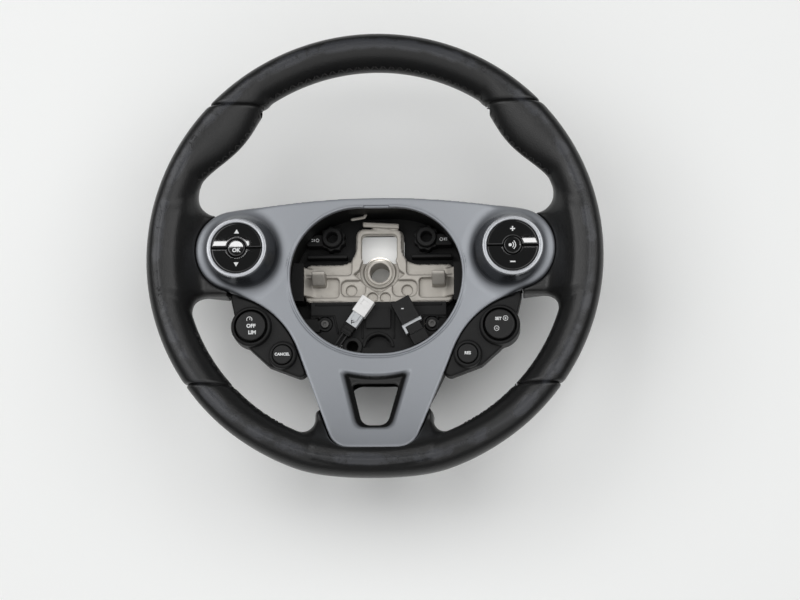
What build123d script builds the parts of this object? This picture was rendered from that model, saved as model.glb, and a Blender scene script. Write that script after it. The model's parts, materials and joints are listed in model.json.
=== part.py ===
from build123d import *

import os
from math import acos, atan2, cos, degrees, hypot, pi, radians, sin, sqrt

# Car steering wheel, lying face up, with the airbag taken out.
# Millimetres. +Z runs along the column axis towards the driver, +Y points to twelve o'clock.
# Everything is drawn about the rim's centre plane: a level is a height from that plane,
# and minus is away from the driver. At the end all pieces are lifted, so that the origin
# lies on the column axis, in the rear face of the hub boss.

# Rim
rim_radius = 169.5
rim_half_width = 14.6
rim_front = 15.5
rim_back = 17.0
crest_shift = 5.0
leather = 1.2
flat_drop = 3.0
flat_span = 20.0
grip_reach = 14.7
grip_start = 36.0
grip_peak = 48.8
grip_end = 66.5
grip_fullness = 1.3
section_points = 12
rim_stations = 30
upper_seam_y = 126.5
lower_seam_y = -107.0

# Leather-covered roots of the spokes, measured outwards from the column axis
side_root_start = 120.0
side_root_top = 36.3
side_root_low = -31.0
side_root_wall = 147.0
side_root_fillet = 17.5
side_root_back_in = -38.0
side_root_back_out = -13.0
low_root_start = 120.0
low_root_half = 47.5
low_root_wall = 138.0
low_root_fillet = 13.0
low_root_back_in = -44.0
low_root_back_out = -16.0
root_end = 160.0
root_spread = 40.0
root_front_in = -10.0
root_front_out = 5.0
root_edge = 6.0
root_ridge = -8.0

# Bezel: outline, shallow dish and skirt
bezel_top = 54.0
bezel_tip = -157.3
bezel_tip_half = 32.0
bezel_tip_fillet = 18.0
bezel_waist_x = 76.0
bezel_waist_y = -43.0
bezel_waist_fillet = 70.0
bezel_wall = 2.6
bezel_skirt = 5.0
bezel_skirt_wall = 2.2
bezel_gap = 0.4
dish_inner_r = 40.0
dish_inner = -24.5
dish_middle_r = 110.0
dish_middle = -16.5
dish_outer_r = 163.0
dish_outer = 1.0

# Airbag opening in the bezel
bay_half_width = 70.5
bay_centre_y = -11.0
bay_up = 56.0
bay_down = 66.0
bay_lip = 6.0
bay_lip_wall = 1.6
bay_notch = 21.0
bay_notch_width = 2.0
bay_notch_step = 1.2

# Funnel through the lower spoke
funnel_top_y = -89.3
funnel_top_half = 28.5
funnel_low_y = -141.5
funnel_low_half = 15.0
hole_top_y = -101.5
hole_top_half = 19.0
hole_low_y = -136.5
hole_low_half = 10.0
hole_room = 4.5
funnel_depth = 8.0
funnel_wall = 2.2
funnel_fillet = 5.0

# Button pods
pod_x = 112.0
pod_y = 6.5
pod_base_r = 34.5
pod_ring_r = 24.6
pod_hole_r = 21.0
pod_top = 1.0
pod_root = 1.5
key_gap = 0.4
key_slit = 0.8
key_height = 4.0
key_sink = 0.8
key_edge = 0.6
centre_key_r = 7.2
centre_key_rise = 0.8
key_travel = 1.0
key_room = 0.6
stem_r = 1.6
stem_length = 5.0
stem_gap = 0.3
stem_at = 9.9
base_thick = 6.0
base_gap = 0.3

# Lower switches
switch_points = [(110, -20), (119.5, -28), (115.5, -45), (113.5, -60), (102, -73.5), (86.5, -87.5),
                 (60, -97.5), (52, -90), (66, -62), (84, -40)]
switch_top = -20.0
switch_foot = -36.0
switch_fillet = 5.0
switch_gap = 0.5
rocker_x = 101.0
rocker_y = -55.5
rocker_cup_r = 16.4
rocker_cup_hole_r = 13.6
rocker_cup_top = -14.0
rocker_floor = -25.0
rocker_cap_r = 12.2
rocker_cap_height = 3.6
rocker_top = -12.6
rocker_pin_r = 1.6
rocker_pin_half = 6.5
rocker_pin_level = -20.5
rocker_post = 5.0
rocker_lug = 2.2
rocker_lug_gap = 0.3
rocker_lug_width = 6.0
rocker_lug_rise = 1.2
rocker_edge = 1.2
pin_gap = 0.25
button_x = 75.0
button_y = -79.0
button_cup_r = 11.2
button_cup_hole_r = 8.3
button_cup_top = -15.0
button_floor = -22.0
button_r = 7.9
button_top = -13.4
button_height = 4.6
button_edge = 1.0
bracket_width = 12.0
bracket_thick = 3.0
bracket_level = -58.0
bracket_eye_r = 6.0
bracket_root = 12.0
screw_x = 44.5
screw_y = -46.3
screw_head_r = 3.6
screw_head_height = 2.4
screw_shank_r = 2.0
screw_length = 10.0
screw_socket_r = 1.6
screw_socket = 1.4
screw_gap = 0.1
screw_post_r = 4.4

# Armature casting
boss_r = 13.5
boss_bore_r = 8.25
boss_front = -70.0
boss_rear = -94.0
boss_well_r = 16.5
web_r = 18.5
web_low = -77.0
plate_top = -62.0
plate_thick = 9.0
plate_fillet = 6.0
arm_half = 62.0
arm_up = 5.0
arm_down = -27.0
frame_half = 19.0
frame_up = 35.8
window_half = 14.7
window_low = 8.0
window_up = 31.0
window_fillet = 4.0
pocket_x = 23.3
pocket_y = -16.5
pocket_length = 20.0
pocket_width = 14.0
pocket_depth = 4.0
recess_r = 4.3
recess_x = 4.8
recess_y = -22.0
ring_r = 168.0
ring_bar_r = 6.5
spoke_in = 54.0
spoke_out = 163.0
spoke_in_y = -10.0
spoke_out_y = 3.0
spoke_in_level = -70.0
spoke_out_level = -5.5
spoke_width = 24.0
spoke_thick = 5.0
leg_x = 33.5
leg_width = 10.0
leg_thick = 6.0
leg_in_y = -20.0
leg_in_level = -68.0
leg_bend_y = -77.0
leg_bend_level = -66.0
leg_out_y = -162.0
leg_out_level = -8.0
hook_x = 52.0
hook_width = 11.0
hook_low = -19.0
hook_up = -7.0
hook_level = -50.0
hook_slot = 4.0
hook_slot_depth = 7.0

# Liner of the bay, wiring tray and bushes
key_half = 20.5
key_low = -20.0
key_up = 34.0
key_fillet = 8.0
liner_floor = -78.0
liner_wall = 1.6
liner_reach = 2.0
liner_top_gap = 0.5
slot_gap = 0.6
shield_top = -54.0
tray_top = -58.0
tray_wall = 2.2
tray_half = 56.0
tray_up = -27.5
tray_down = -75.0
tray_leg = 6.0
tray_leg_x = 12.0
tray_gap = 0.5
box_half = 10.0
box_up = -34.0
box_down = -50.0
box_level = -55.0
rest_x = 25.0
rest_y = -43.0
rest_size = 12.0
half_round_r = 10.5
half_round_y = -66.0
bush_x = 39.5
bush_drop = 16.6
bush_y = bay_centre_y + bay_up - bush_drop
bush_level = -60.0
bush_low_x = -21.4
bush_low_y = -65.5
bush_low_level = -56.0
bush_r = 6.2
bush_flange_r = 8.2
bush_flange = 2.0
bush_hole_r = 4.6
bush_length = 12.0
bush_fit = 0.1
post_wall = 2.0

# Rear cover
cover_inset = 2.8
cover_wall = 2.0
cover_rest = -98.0
cover_rest_in = 47.0
cover_rest_out = 57.0
cover_middle_r = 92.0
cover_middle = -76.0
cover_end_r = 125.0
cover_end = -38.0
cover_recess = -86.0
cover_end_gap = 0.5
door_depth = 12.0
door_lap = 5.0
cover_screw_x = 38.0
cover_screw_y = -11.0
cover_screw_low_y = -23.5
cover_screw_length = 16.0

# Plugs and leads
white_x = -7.6
white_y = -27.0
white_turn = 235.8
white_length = 15.0
white_width = 12.0
white_height = 9.0
latch_length = 11.0
latch_width = 10.0
latch_height = 7.0
boot_length = 9.0
boot_width = 9.0
boot_height = 6.0
black_x = 18.15
black_y = -28.3
black_turn = -61.8
black_length = 20.0
black_width = 16.5
black_height = 10.0
lock_length = 2.5
lock_width = 17.5
lock_height = 8.0
cap_length = 7.5
cap_width = 12.5
cap_height = 9.0
tail_length = 9.0
tail_width = 14.5
tail_height = 8.0
lead_r = 0.9
lead_pitch = 3.6
lead_length = 20.0
lead_hole_gap = 0.3
sleeve_r = 2.2
sleeve_length = 12.0
plug_edge = 0.8
plug_window = 0.8

# Reach of cutting shapes beyond the whole wheel, and past a single face
far = 200.0
past = 1.0
touch = 0.1


def both_sides(part):
    return part + mirror(part, about=Plane.YZ)


def mirrored(part):
    return mirror(part, about=Plane.YZ)


def prism(face, low=-far, high=far / 2):
    """A flat outline drawn up between two levels."""
    return extrude(Pos(0, 0, low) * face, amount=high - low)


def drum(x, y, radius, low, high):
    return Pos(x, y, (low + high) / 2) * Cylinder(radius, high - low)


def block(x, y, length, width, low, high):
    return Pos(x, y, (low + high) / 2) * Box(length, width, high - low)


def span_block(left, right, near, away, low, high):
    return block((left + right) / 2, (near + away) / 2, right - left, away - near, low, high)


# Rim
def grip_bulge(angle):
    """How far the thumb grip stands into the wheel at a clock angle in degrees."""
    half = grip_peak - grip_start if angle < grip_peak else grip_end - grip_peak
    share = (angle - grip_peak) / half
    return grip_reach * max(0.0, 1 - share * share) ** grip_fullness


def bottom_flat(angle):
    """How far the rim is pulled in at its flattened bottom."""
    share = (180 - angle) / flat_span
    return flat_drop * max(0.0, 1 - share * share) ** 2


def rim_section(angle, inset):
    """Section of the rim at a clock angle: an egg whose crest leans outwards."""
    turn = radians(angle)
    outward = Vector(sin(turn), cos(turn), 0)
    plane = Plane(outward * (rim_radius - bottom_flat(angle)), outward, (cos(turn), -sin(turn), 0))
    points = []
    for k in range(section_points):
        t = 2 * pi * k / section_points
        bulge = grip_bulge(angle) if cos(t) < -0.01 else 0.0
        width = rim_half_width - inset + bulge
        depth = (rim_front if sin(t) > 0 else rim_back) - inset
        points.append((width * cos(t) + crest_shift * sin(t), depth * sin(t)))
    return plane * make_face(Spline(*points, periodic=True))


def rim_body(inset):
    angles = [180 * k / rim_stations for k in range(rim_stations + 1)]
    return both_sides(loft([rim_section(a, inset) for a in angles]))


# Spoke roots, drawn along +X: a plan with rounded inner corners, between a front and a back
def root_body(start, top, low, wall, corner, back_in, back_out, inset, overrun):
    middle = (top + low) / 2
    bar = Pos((start + root_end) / 2, middle) * Rectangle(root_end - start, top - low)
    head = Pos((wall + root_end) / 2, middle) * Rectangle(root_end - wall, top - low + 2 * root_spread)
    plan = bar + head
    corners = [plan.vertices().sort_by_distance((wall, y, 0))[0] for y in (top, low)]
    plan = offset(fillet(corners, corner), -inset)
    plan += Pos(start, middle) * Rectangle(2 * (2 * inset + overrun), top - low - 2 * inset)
    lead = start - overrun - 2 * inset
    share = (lead - root_end) / (start - root_end)
    front = [(lead, root_front_out + (root_front_in - root_front_out) * share), (root_end, root_front_out)]
    back = [(root_end, back_out), (lead, back_out + (back_in - back_out) * share)]
    side = offset(make_face(Polyline(*front, *back, close=True)), -inset)
    body = prism(plan) & extrude(Plane.XZ * side, amount=far, both=True)
    upright = [f for f in body.faces() if abs(f.normal_at().Z) < touch]
    walls = [f for f in upright if start - inset - overrun + touch < f.center().X < wall + inset + touch]
    long_edges = [e for f in walls for e in f.edges() if abs(e.tangent_at(0.5).Z) < 0.9]
    body = fillet(long_edges, root_edge - inset)
    flare = [(low - far, root_ridge), (low - corner, root_ridge), (low, back_in), (top, back_in)]
    flare += [(top + corner, root_ridge), (top + far, root_ridge), (top + far, far), (low - far, far)]
    kept = offset(make_face(Polyline(*flare, close=True)), -inset)
    return body & extrude(Plane.YZ.offset(start - overrun) * kept, amount=far)


def side_root(inset, overrun):
    return root_body(side_root_start, side_root_top, side_root_low, side_root_wall, side_root_fillet,
                     side_root_back_in, side_root_back_out, inset, overrun)


def low_root(inset, overrun):
    body = root_body(low_root_start, low_root_half, -low_root_half, low_root_wall, low_root_fillet,
                     low_root_back_in, low_root_back_out, inset, overrun)
    return Rot(0, 0, -90) * body


def padded_body(inset, overrun=0.0):
    """The padded rim with its three spoke roots, shrunk all round by inset."""
    return rim_body(inset) + both_sides(side_root(inset, overrun)) + low_root(inset, overrun)


# Bezel
def bezel_outline():
    """Top edge, wing ends round the pods, waists and lower tip, all tangent to each other."""
    rise = bezel_top - pod_y
    top_r = (pod_x**2 + rise**2 - pod_base_r**2) / (2 * (rise - pod_base_r))
    lean = atan2(pod_x, pod_y - (bezel_top - top_r))
    shoulder = (pod_x + pod_base_r * sin(lean), pod_y + pod_base_r * cos(lean))
    across, down = bezel_waist_x - pod_x, bezel_waist_y - pod_y
    meet = atan2(down, across) + acos(pod_base_r / hypot(across, down))
    armpit = (pod_x + pod_base_r * cos(meet), pod_y + pod_base_r * sin(meet))
    left = [(-x, y) for x, y in (shoulder, (pod_x + pod_base_r, pod_y), armpit)]
    half = [armpit, (bezel_waist_x, bezel_waist_y), (bezel_tip_half, bezel_tip)]
    lower = half + [(-x, y) for x, y in reversed(half)]
    radii = [bezel_waist_fillet, bezel_tip_fillet, bezel_tip_fillet, bezel_waist_fillet]
    return make_face([
        ThreePointArc(left[0], (0, bezel_top), shoulder),
        ThreePointArc(shoulder, (pod_x + pod_base_r, pod_y), armpit),
        FilletPolyline(*lower, radius=radii),
        ThreePointArc(left[2], left[1], left[0]),
    ])


def dish_body(top, low):
    """Turned body between the dish raised by top and the dish raised by low."""
    stations = (dish_inner_r, dish_inner), (dish_middle_r, dish_middle), (dish_outer_r, dish_outer)
    upper = ThreePointArc(*[(r, z + top) for r, z in stations])
    lower = ThreePointArc(*[(r, z + low) for r, z in stations])
    ends = [Line(upper @ 0, lower @ 0), Line(upper @ 1, lower @ 1)]
    return revolve(Plane.XZ * make_face([upper, lower, *ends]), Axis.Z)


def dish_level(radius):
    """Height of the dish at a radius, on the arc through its three stations."""
    arc = ThreePointArc((dish_inner_r, dish_inner), (dish_middle_r, dish_middle), (dish_outer_r, dish_outer))
    centre = arc.arc_center
    return centre.Y - sqrt(arc.radius**2 - (radius - centre.X)**2)


def bay_outline():
    """Airbag opening: large tangent corners, fuller above than below."""
    crown, keel = bay_half_width - bay_up, bay_half_width - bay_down
    top, bottom = bay_centre_y + bay_up, bay_centre_y - bay_down
    return make_face([
        Line((-crown, top), (crown, top)),
        CenterArc((crown, bay_centre_y), bay_up, 90, -90),
        CenterArc((keel, bay_centre_y), bay_down, 0, -90),
        Line((keel, bottom), (-keel, bottom)),
        CenterArc((-keel, bay_centre_y), bay_down, 270, -90),
        CenterArc((-crown, bay_centre_y), bay_up, 180, -90),
    ])


def trapezoid(top_y, top_half, low_y, low_half, grow):
    points = [(-top_half, top_y), (top_half, top_y), (low_half, low_y), (-low_half, low_y)]
    shape = make_face(Polyline(*points, close=True))
    return offset(fillet(shape.vertices(), funnel_fillet), grow)


def funnel(grow, drop):
    """Tapered well of the lower spoke, laid along the slope of the dish there."""
    middle_y = (funnel_top_y + funnel_low_y) / 2
    high, low = dish_level(-funnel_low_y), dish_level(-funnel_top_y)
    slope = degrees(atan2(high - low, funnel_top_y - funnel_low_y))
    seat = Pos(0, middle_y, (high + low) / 2) * Rot(-slope, 0, 0) * Pos(0, -middle_y, 0)
    mouth = trapezoid(funnel_top_y, funnel_top_half, funnel_low_y, funnel_low_half, grow)
    throat = trapezoid(hole_top_y, hole_top_half, hole_low_y, hole_low_half, grow)
    return seat * loft([mouth, Pos(0, 0, -funnel_depth - drop) * throat])


def hole_shaft(grow=0.0):
    return prism(trapezoid(hole_top_y, hole_top_half, hole_low_y, hole_low_half, grow))


def pod_cone():
    """Skewed cone from the slope of the dish up to the level ring of a pod."""
    radius = hypot(pod_x, pod_y)
    slope = dish_level(radius + pod_base_r) - dish_level(radius - pod_base_r)
    tilt = degrees(atan2(slope, 2 * pod_base_r))
    seat = Pos(pod_x, pod_y, dish_level(radius) - pod_root) * Rot(0, -tilt, 0)
    return loft([seat * Circle(pod_base_r), Pos(pod_x, pod_y, pod_top) * Circle(pod_ring_r)])


def make_bezel():
    outline = bezel_outline()
    bay = bay_outline()
    inner_wall = prism(outline) - prism(offset(outline, -bezel_skirt_wall))
    lip = prism(offset(bay, bay_lip_wall))
    plate = prism(outline) & dish_body(0, -bezel_wall)
    plate += inner_wall & dish_body(0, -bezel_skirt)
    plate += lip & dish_body(0, -bay_lip)
    plate += both_sides(pod_cone() & dish_body(far, -bezel_wall))
    plate += funnel(funnel_wall, 0) & dish_body(0, -far)
    plate -= prism(bay) + hole_shaft()
    plate -= funnel(0, 0) + both_sides(drum(pod_x, pod_y, pod_hole_r, -far, far))
    notch_y = bay_centre_y + bay_up
    return plate - block(0, notch_y, bay_notch, 2 * bay_notch_width, dish_inner - bay_notch_step, far)


def bezel_room():
    """What the bezel takes up, with its gap, for the pieces under and round it."""
    room = prism(offset(bezel_outline(), bezel_gap)) & dish_body(far, -bezel_skirt - bezel_gap)
    return room + funnel(funnel_wall + bezel_gap, bezel_gap) + hole_shaft(hole_room)


# Armature: boss, plate with window frame, arms, lower legs and rim ring in one casting
def bar(start, end, width, thick, grow=0.0):
    """Straight bar of rectangular section between two points, its ends square to the long way."""
    first, last = Vector(*start), Vector(*end)
    along = (last - first).normalized()
    across = Vector(0, 0, 1).cross(along).normalized()
    section = Rectangle(width + 2 * grow, thick + 2 * grow)
    return extrude(Plane(first, across, along) * section, amount=(last - first).length)


def spoke_arm(grow=0.0):
    return bar((spoke_in, spoke_in_y, spoke_in_level), (spoke_out, spoke_out_y, spoke_out_level),
               spoke_width, spoke_thick, grow)


def lower_leg(grow=0.0):
    bend = (leg_x, leg_bend_y, leg_bend_level)
    inner = bar((leg_x, leg_in_y, leg_in_level), bend, leg_width, leg_thick, grow)
    outer = bar(bend, (leg_x, leg_out_y, leg_out_level), leg_width, leg_thick, grow)
    knee = Pos(*bend) * Rot(0, 90, 0) * Cylinder(leg_thick / 2 + grow, leg_width + 2 * grow)
    return inner + outer + knee


def hook():
    body = span_block(hook_x - hook_width / 2, hook_x + hook_width / 2, hook_low, hook_up,
                      plate_top - past, hook_level)
    body = fillet(body.edges().filter_by(Axis.Z), hook_width / 5)
    slot = block(hook_x, (hook_low + hook_up) / 2, hook_slot, far, hook_level - hook_slot_depth, 0)
    return body - slot


def plate_outline():
    arms = Pos(0, (arm_up + arm_down) / 2) * RectangleRounded(2 * arm_half, arm_up - arm_down, plate_fillet)
    frame = Pos(0, (frame_up + arm_down) / 2) * RectangleRounded(2 * frame_half, frame_up - arm_down, plate_fillet)
    window = Pos(0, (window_low + window_up) / 2)
    window *= RectangleRounded(2 * window_half, window_up - window_low, window_fillet)
    joined = arms + frame + Circle(web_r)
    inner = [joined.vertices().sort_by_distance((x, arm_up, 0))[0] for x in (frame_half, -frame_half)]
    return fillet(inner, plate_fillet) - window


def make_armature():
    plate_low = plate_top - plate_thick
    body = prism(plate_outline(), plate_low, plate_top)
    body -= drum(0, 0, boss_well_r, plate_low, plate_top + past)
    body += drum(0, 0, web_r, web_low, plate_low) - span_block(-far, far, window_low, far, -far, far)
    body += drum(0, 0, boss_r, boss_rear, boss_front)
    pocket = RectangleRounded(pocket_length, pocket_width, window_fillet)
    pockets = Pos(pocket_x, pocket_y) * pocket
    body -= both_sides(prism(pockets, plate_top - pocket_depth, plate_top + past))
    for x, y, deep in ((pocket_x, pocket_y, 1.5 * pocket_depth), (recess_x, recess_y, pocket_depth)):
        body -= both_sides(drum(x, y, recess_r, plate_top - deep, plate_top + past))
    for x, y in cover_screw_places():
        body += drum(x, y, screw_post_r, liner_floor + liner_wall, plate_low)
        body -= drum(x, y, screw_shank_r + screw_gap, cover_recess, cover_recess + cover_screw_length + past)
    body += both_sides(hook() + spoke_arm() + lower_leg())
    body += Torus(ring_r, ring_bar_r)
    body -= drum(0, 0, boss_bore_r, -far, far)
    return body


# Padding and leather
def make_foam(armature, room):
    return padded_body(leather) - armature - room


def make_leather(room):
    """The four sewn panels, cut at the upper and the lower seams."""
    outer = padded_body(0)
    core = padded_body(leather, overrun=leather) + room
    zones = {
        "leather_top": span_block(-far, far, upper_seam_y, far, -far, far),
        "leather_right": span_block(0, far, lower_seam_y, upper_seam_y, -far, far),
        "leather_left": span_block(-far, 0, lower_seam_y, upper_seam_y, -far, far),
        "leather_bottom": span_block(-far, far, -far, lower_seam_y, -far, far),
    }
    return {name: (outer & zone) - core for name, zone in zones.items()}


# Rear cover
def cover_outline():
    inner = offset(bezel_outline(), -cover_inset)
    reach = side_root_start - cover_end_gap
    low = low_root_start - cover_end_gap
    return inner & Pos(0, (far - low) / 2) * Rectangle(2 * reach, far + low)


def cover_bell(shift):
    """Turned bell of the rear cover, raised by shift, from the resting face out to the spokes."""
    points = [(0, far), (0, cover_rest + shift), (cover_rest_out, cover_rest + shift)]
    curve = ThreePointArc((cover_rest_out, cover_rest + shift), (cover_middle_r, cover_middle + shift),
                          (cover_end_r, cover_end + shift))
    outer = Polyline((cover_end_r, cover_end + shift), (far, cover_end + shift), (far, far), (0, far))
    return revolve(Plane.XZ * make_face([Polyline(*points), curve, outer]), Axis.Z)


def key_outline():
    return Pos(0, (key_low + key_up) / 2) * RectangleRounded(2 * key_half, key_up - key_low, key_fillet)


def cover_screw_places():
    return [(cover_screw_x, cover_screw_y), (-cover_screw_x, cover_screw_y), (0, cover_screw_low_y)]


def make_cover(room, brackets):
    outline = cover_outline()
    solid = prism(outline) & cover_bell(0)
    hollow = cover_bell(cover_wall) & (prism(offset(outline, -cover_wall)) + spoke_doors())
    shell = solid - hollow - dish_body(far, -bezel_wall - liner_top_gap)
    recess_top = cover_recess + cover_wall
    shell += drum(0, 0, cover_rest_in + cover_wall, cover_rest, recess_top)
    shell -= drum(0, 0, cover_rest_in, cover_rest - past, cover_recess)
    for x, y in cover_screw_places():
        shell += drum(x, y, screw_post_r, cover_recess, liner_floor)
        shell -= drum(x, y, screw_shank_r + screw_gap, -far, 0)
    shell -= prism(key_outline()) + both_sides(spoke_arm(slot_gap) + lower_leg(slot_gap)) + brackets
    return shell - room


def spoke_doors():
    """Open ends of the cover, where the leather roots carry on from it."""
    side = side_root_start - cover_wall - cover_end_gap
    low = low_root_start - cover_wall - cover_end_gap
    height = side_root_top - side_root_low - 2 * door_lap
    doors = both_sides(block(side, (side_root_top + side_root_low) / 2, door_depth, height, -far, far))
    return doors + block(0, -low, 2 * (low_root_half - 2 * door_lap), door_depth, -far, far)


# Liner of the bay: a wall round it, a floor inside the wall and two posts on the floor
def liner_cuts(brackets):
    """The arms, legs, brackets, screws and leads that pass through the liner."""
    cuts = both_sides(spoke_arm(slot_gap) + lower_leg(slot_gap)) + brackets
    for x, y in cover_screw_places():
        cuts += drum(x, y, screw_shank_r + screw_gap, -far, 0)
    return cuts + white_leads(lead_hole_gap) + black_sleeve(lead_hole_gap)


def make_wall(inside, cuts):
    body = prism(offset(bay_outline(), liner_reach + liner_wall), liner_floor, 0) - inside
    body &= cover_bell(cover_wall + slot_gap)
    return body - dish_body(far, -bay_lip - liner_top_gap) - cuts


def make_floor(inside, cuts):
    body = span_block(-far, far, -far, far, liner_floor, liner_floor + liner_wall) & inside
    body -= prism(key_outline())
    for x in (screw_x, -screw_x):
        body += drum(x, screw_y, screw_post_r, liner_floor, bracket_level - bracket_thick)
        body -= drum(x, screw_y, screw_shank_r + screw_gap, bracket_level - screw_length - past, 0)
    shield = span_block(arm_half + slot_gap, far, arm_down, arm_up, liner_floor, shield_top)
    return body + (both_sides(shield) & inside) - cuts


def make_post(x, inside):
    """Seat of an upper bush, standing on the floor."""
    body = drum(x, bush_y, bush_r + bush_fit + post_wall, liner_floor + liner_wall, bush_level - bush_flange)
    return (body & inside) - drum(x, bush_y, bush_r + bush_fit, bush_level - bush_length, 0)


def make_tray(brackets):
    plate_low = tray_top - tray_wall
    inside = prism(offset(bay_outline(), liner_reach - tray_gap), plate_low - past, box_level + past)
    body = span_block(-tray_half, tray_half, tray_down, tray_up, plate_low, tray_top) & inside
    eye = drum(screw_x, screw_y, bracket_eye_r + slot_gap, plate_low - past, tray_top + past)
    body -= brackets + both_sides(eye)
    body += span_block(-box_half, box_half, box_down, box_up, plate_low, box_level)
    body += block(rest_x, rest_y, rest_size, rest_size, plate_low, box_level)
    for x in (tray_leg_x, -tray_leg_x):
        for y in (tray_up - tray_leg, tray_down + 2 * tray_leg):
            body += block(x, y, tray_leg, tray_leg, liner_floor + liner_wall, tray_top)
    body -= drum(bush_low_x, bush_low_y, bush_r + bush_fit, -far, 0)
    half_round = Pos(0, half_round_y) * Circle(half_round_r)
    half_round &= Pos(0, half_round_y + half_round_r) * Rectangle(4 * half_round_r, 2 * half_round_r)
    return body - prism(half_round, plate_low - past, 0)


def make_bush(x, y, level):
    sleeve = drum(x, y, bush_r, level - bush_length, level)
    flange = drum(x, y, bush_flange_r, level - bush_flange, level)
    body = sleeve + flange - drum(x, y, bush_hole_r, -far, 0)
    rims = [e for e in body.edges().filter_by(GeomType.CIRCLE) if abs(e.center().Z - level) < touch]
    return chamfer(rims, bush_flange / 4)


def screw(x, y, seat, length, up=True):
    """Pan-head screw standing on its seat; turned over where it is driven from behind."""
    head = fillet(Cylinder(screw_head_r, screw_head_height).edges().sort_by(Axis.Z)[-1], screw_head_height / 3)
    socket = Pos(0, 0, screw_head_height / 2 - screw_socket)
    head -= socket * extrude(RegularPolygon(screw_socket_r, 6), amount=screw_head_height)
    body = Pos(0, 0, screw_head_height / 2) * head + Pos(0, 0, -length / 2) * Cylinder(screw_shank_r, length)
    return Pos(x, y, seat) * (body if up else Rot(180, 0, 0) * body)


# Button pods
def pod_levels():
    top = pod_top - key_sink
    key_low = top - key_height
    return top, key_low, key_low - key_travel - key_room


def make_base():
    base_top = pod_levels()[2]
    body = drum(0, 0, pod_hole_r - base_gap, base_top - base_thick, base_top)
    stems = [(x, y) for x in (stem_at, -stem_at) for y in (stem_at, -stem_at)]
    for x, y in stems + [(0, 0)]:
        body -= drum(x, y, stem_r + stem_gap, base_top - base_thick + past, base_top + past)
    return Pos(pod_x, pod_y) * body


def arc_key():
    """Upper key of a pod: half a ring with two guide stems."""
    top, low, base_top = pod_levels()
    ring = Circle(pod_hole_r - key_gap) - Circle(centre_key_r + key_gap)
    half = ring & Pos(0, far / 2 + key_slit / 2) * Rectangle(far, far)
    body = prism(half, low, top)
    body = fillet(body.faces().sort_by(Axis.Z)[-1].edges(), key_edge)
    for x in (stem_at, -stem_at):
        body += drum(x, stem_at, stem_r, low - stem_length, low + past)
    return body


def centre_key():
    top, low, base_top = pod_levels()
    body = drum(0, 0, centre_key_r, low, top + centre_key_rise)
    body = fillet(body.edges().sort_by(Axis.Z)[-1], key_edge)
    return body + drum(0, 0, stem_r, low - stem_length, low + past)


# Lower switches
def switch_outline():
    """Leaf outline outside the bezel edge; its inner side runs under the bezel."""
    return make_face(FilletPolyline(*switch_points, radius=switch_fillet, close=True))


def bracket_bar(grow=0.0):
    """Sloped bar from the switch housing in to the eye at its screw in the bay."""
    screw_at, rocker_at = Vector(screw_x, screw_y), Vector(rocker_x, rocker_y)
    aim = (rocker_at - screw_at).normalized()
    start = screw_at + aim * (bracket_eye_r - past)
    end = rocker_at - aim * bracket_root
    half = bracket_thick / 2
    return bar((start.X, start.Y, bracket_level - half), (end.X, end.Y, switch_foot + half),
               bracket_width, bracket_thick, grow)


def make_switch(room):
    body = prism(switch_outline(), switch_foot, switch_top)
    body += drum(rocker_x, rocker_y, rocker_cup_r, switch_foot, rocker_cup_top)
    body += drum(button_x, button_y, button_cup_r, switch_foot, button_cup_top)
    body -= room + prism(offset(cover_outline(), switch_gap))
    body -= drum(rocker_x, rocker_y, rocker_cup_hole_r, rocker_floor, 0)
    body -= drum(button_x, button_y, button_cup_hole_r, button_floor, 0)
    body -= drum(button_x, button_y, stem_r + stem_gap, button_floor - stem_length, 0)
    lug_top = rocker_pin_level + rocker_pin_r + rocker_lug_rise
    lug_x = rocker_post / 2 + rocker_lug_gap + rocker_lug / 2
    for x in (rocker_x - lug_x, rocker_x + lug_x):
        body += block(x, rocker_y, rocker_lug, rocker_lug_width, rocker_floor - past, lug_top)
    body -= rocker_pin(pin_gap)
    eye = drum(screw_x, screw_y, bracket_eye_r, bracket_level - bracket_thick, bracket_level)
    body += bracket_bar() + eye
    return body - drum(screw_x, screw_y, screw_shank_r + screw_gap, -far, 0)


def rocker_pin(grow=0.0):
    pin = Cylinder(rocker_pin_r + grow, 2 * (rocker_pin_half + grow))
    return Pos(rocker_x, rocker_y, rocker_pin_level) * Rot(0, 90, 0) * pin


def make_rocker():
    cap = drum(rocker_x, rocker_y, rocker_cap_r, rocker_top - rocker_cap_height, rocker_top)
    cap = fillet(cap.edges().sort_by(Axis.Z)[-1], rocker_edge)
    post = block(rocker_x, rocker_y, rocker_post, 2 * rocker_pin_r, rocker_pin_level,
                 rocker_top - rocker_cap_height / 2)
    return cap + post + rocker_pin()


def make_button():
    low = button_top - button_height
    body = drum(button_x, button_y, button_r, low, button_top)
    body = fillet(body.edges().sort_by(Axis.Z)[-1], button_edge)
    return body + drum(button_x, button_y, stem_r, low - stem_length, low + past)


# Plugs, each drawn along +X from its mouth and then turned into place
def plug_block(start, length, width, height):
    body = Pos(start + length / 2, 0, height / 2) * Box(length, width, height)
    return fillet(body.edges().filter_by(Axis.X), plug_edge)


def white_place(part):
    return Pos(white_x, white_y, box_level) * Rot(0, 0, white_turn) * part


def black_place(part):
    return Pos(black_x, black_y, box_level) * Rot(0, 0, black_turn) * part


def white_leads(grow=0.0):
    start = white_length + latch_length + boot_length
    lead = Rot(0, 90, 0) * Cylinder(lead_r + grow, lead_length)
    pair = [Pos(start + lead_length / 2, y, boot_height / 2) * lead for y in (-lead_pitch / 2, lead_pitch / 2)]
    return white_place(pair[0] + pair[1])


def black_sleeve(grow=0.0):
    start = black_length + lock_length + cap_length + tail_length
    sleeve = Rot(0, 90, 0) * Cylinder(sleeve_r + grow, sleeve_length)
    return black_place(Pos(start + sleeve_length / 2, 0, tail_height / 2) * sleeve)


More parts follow.
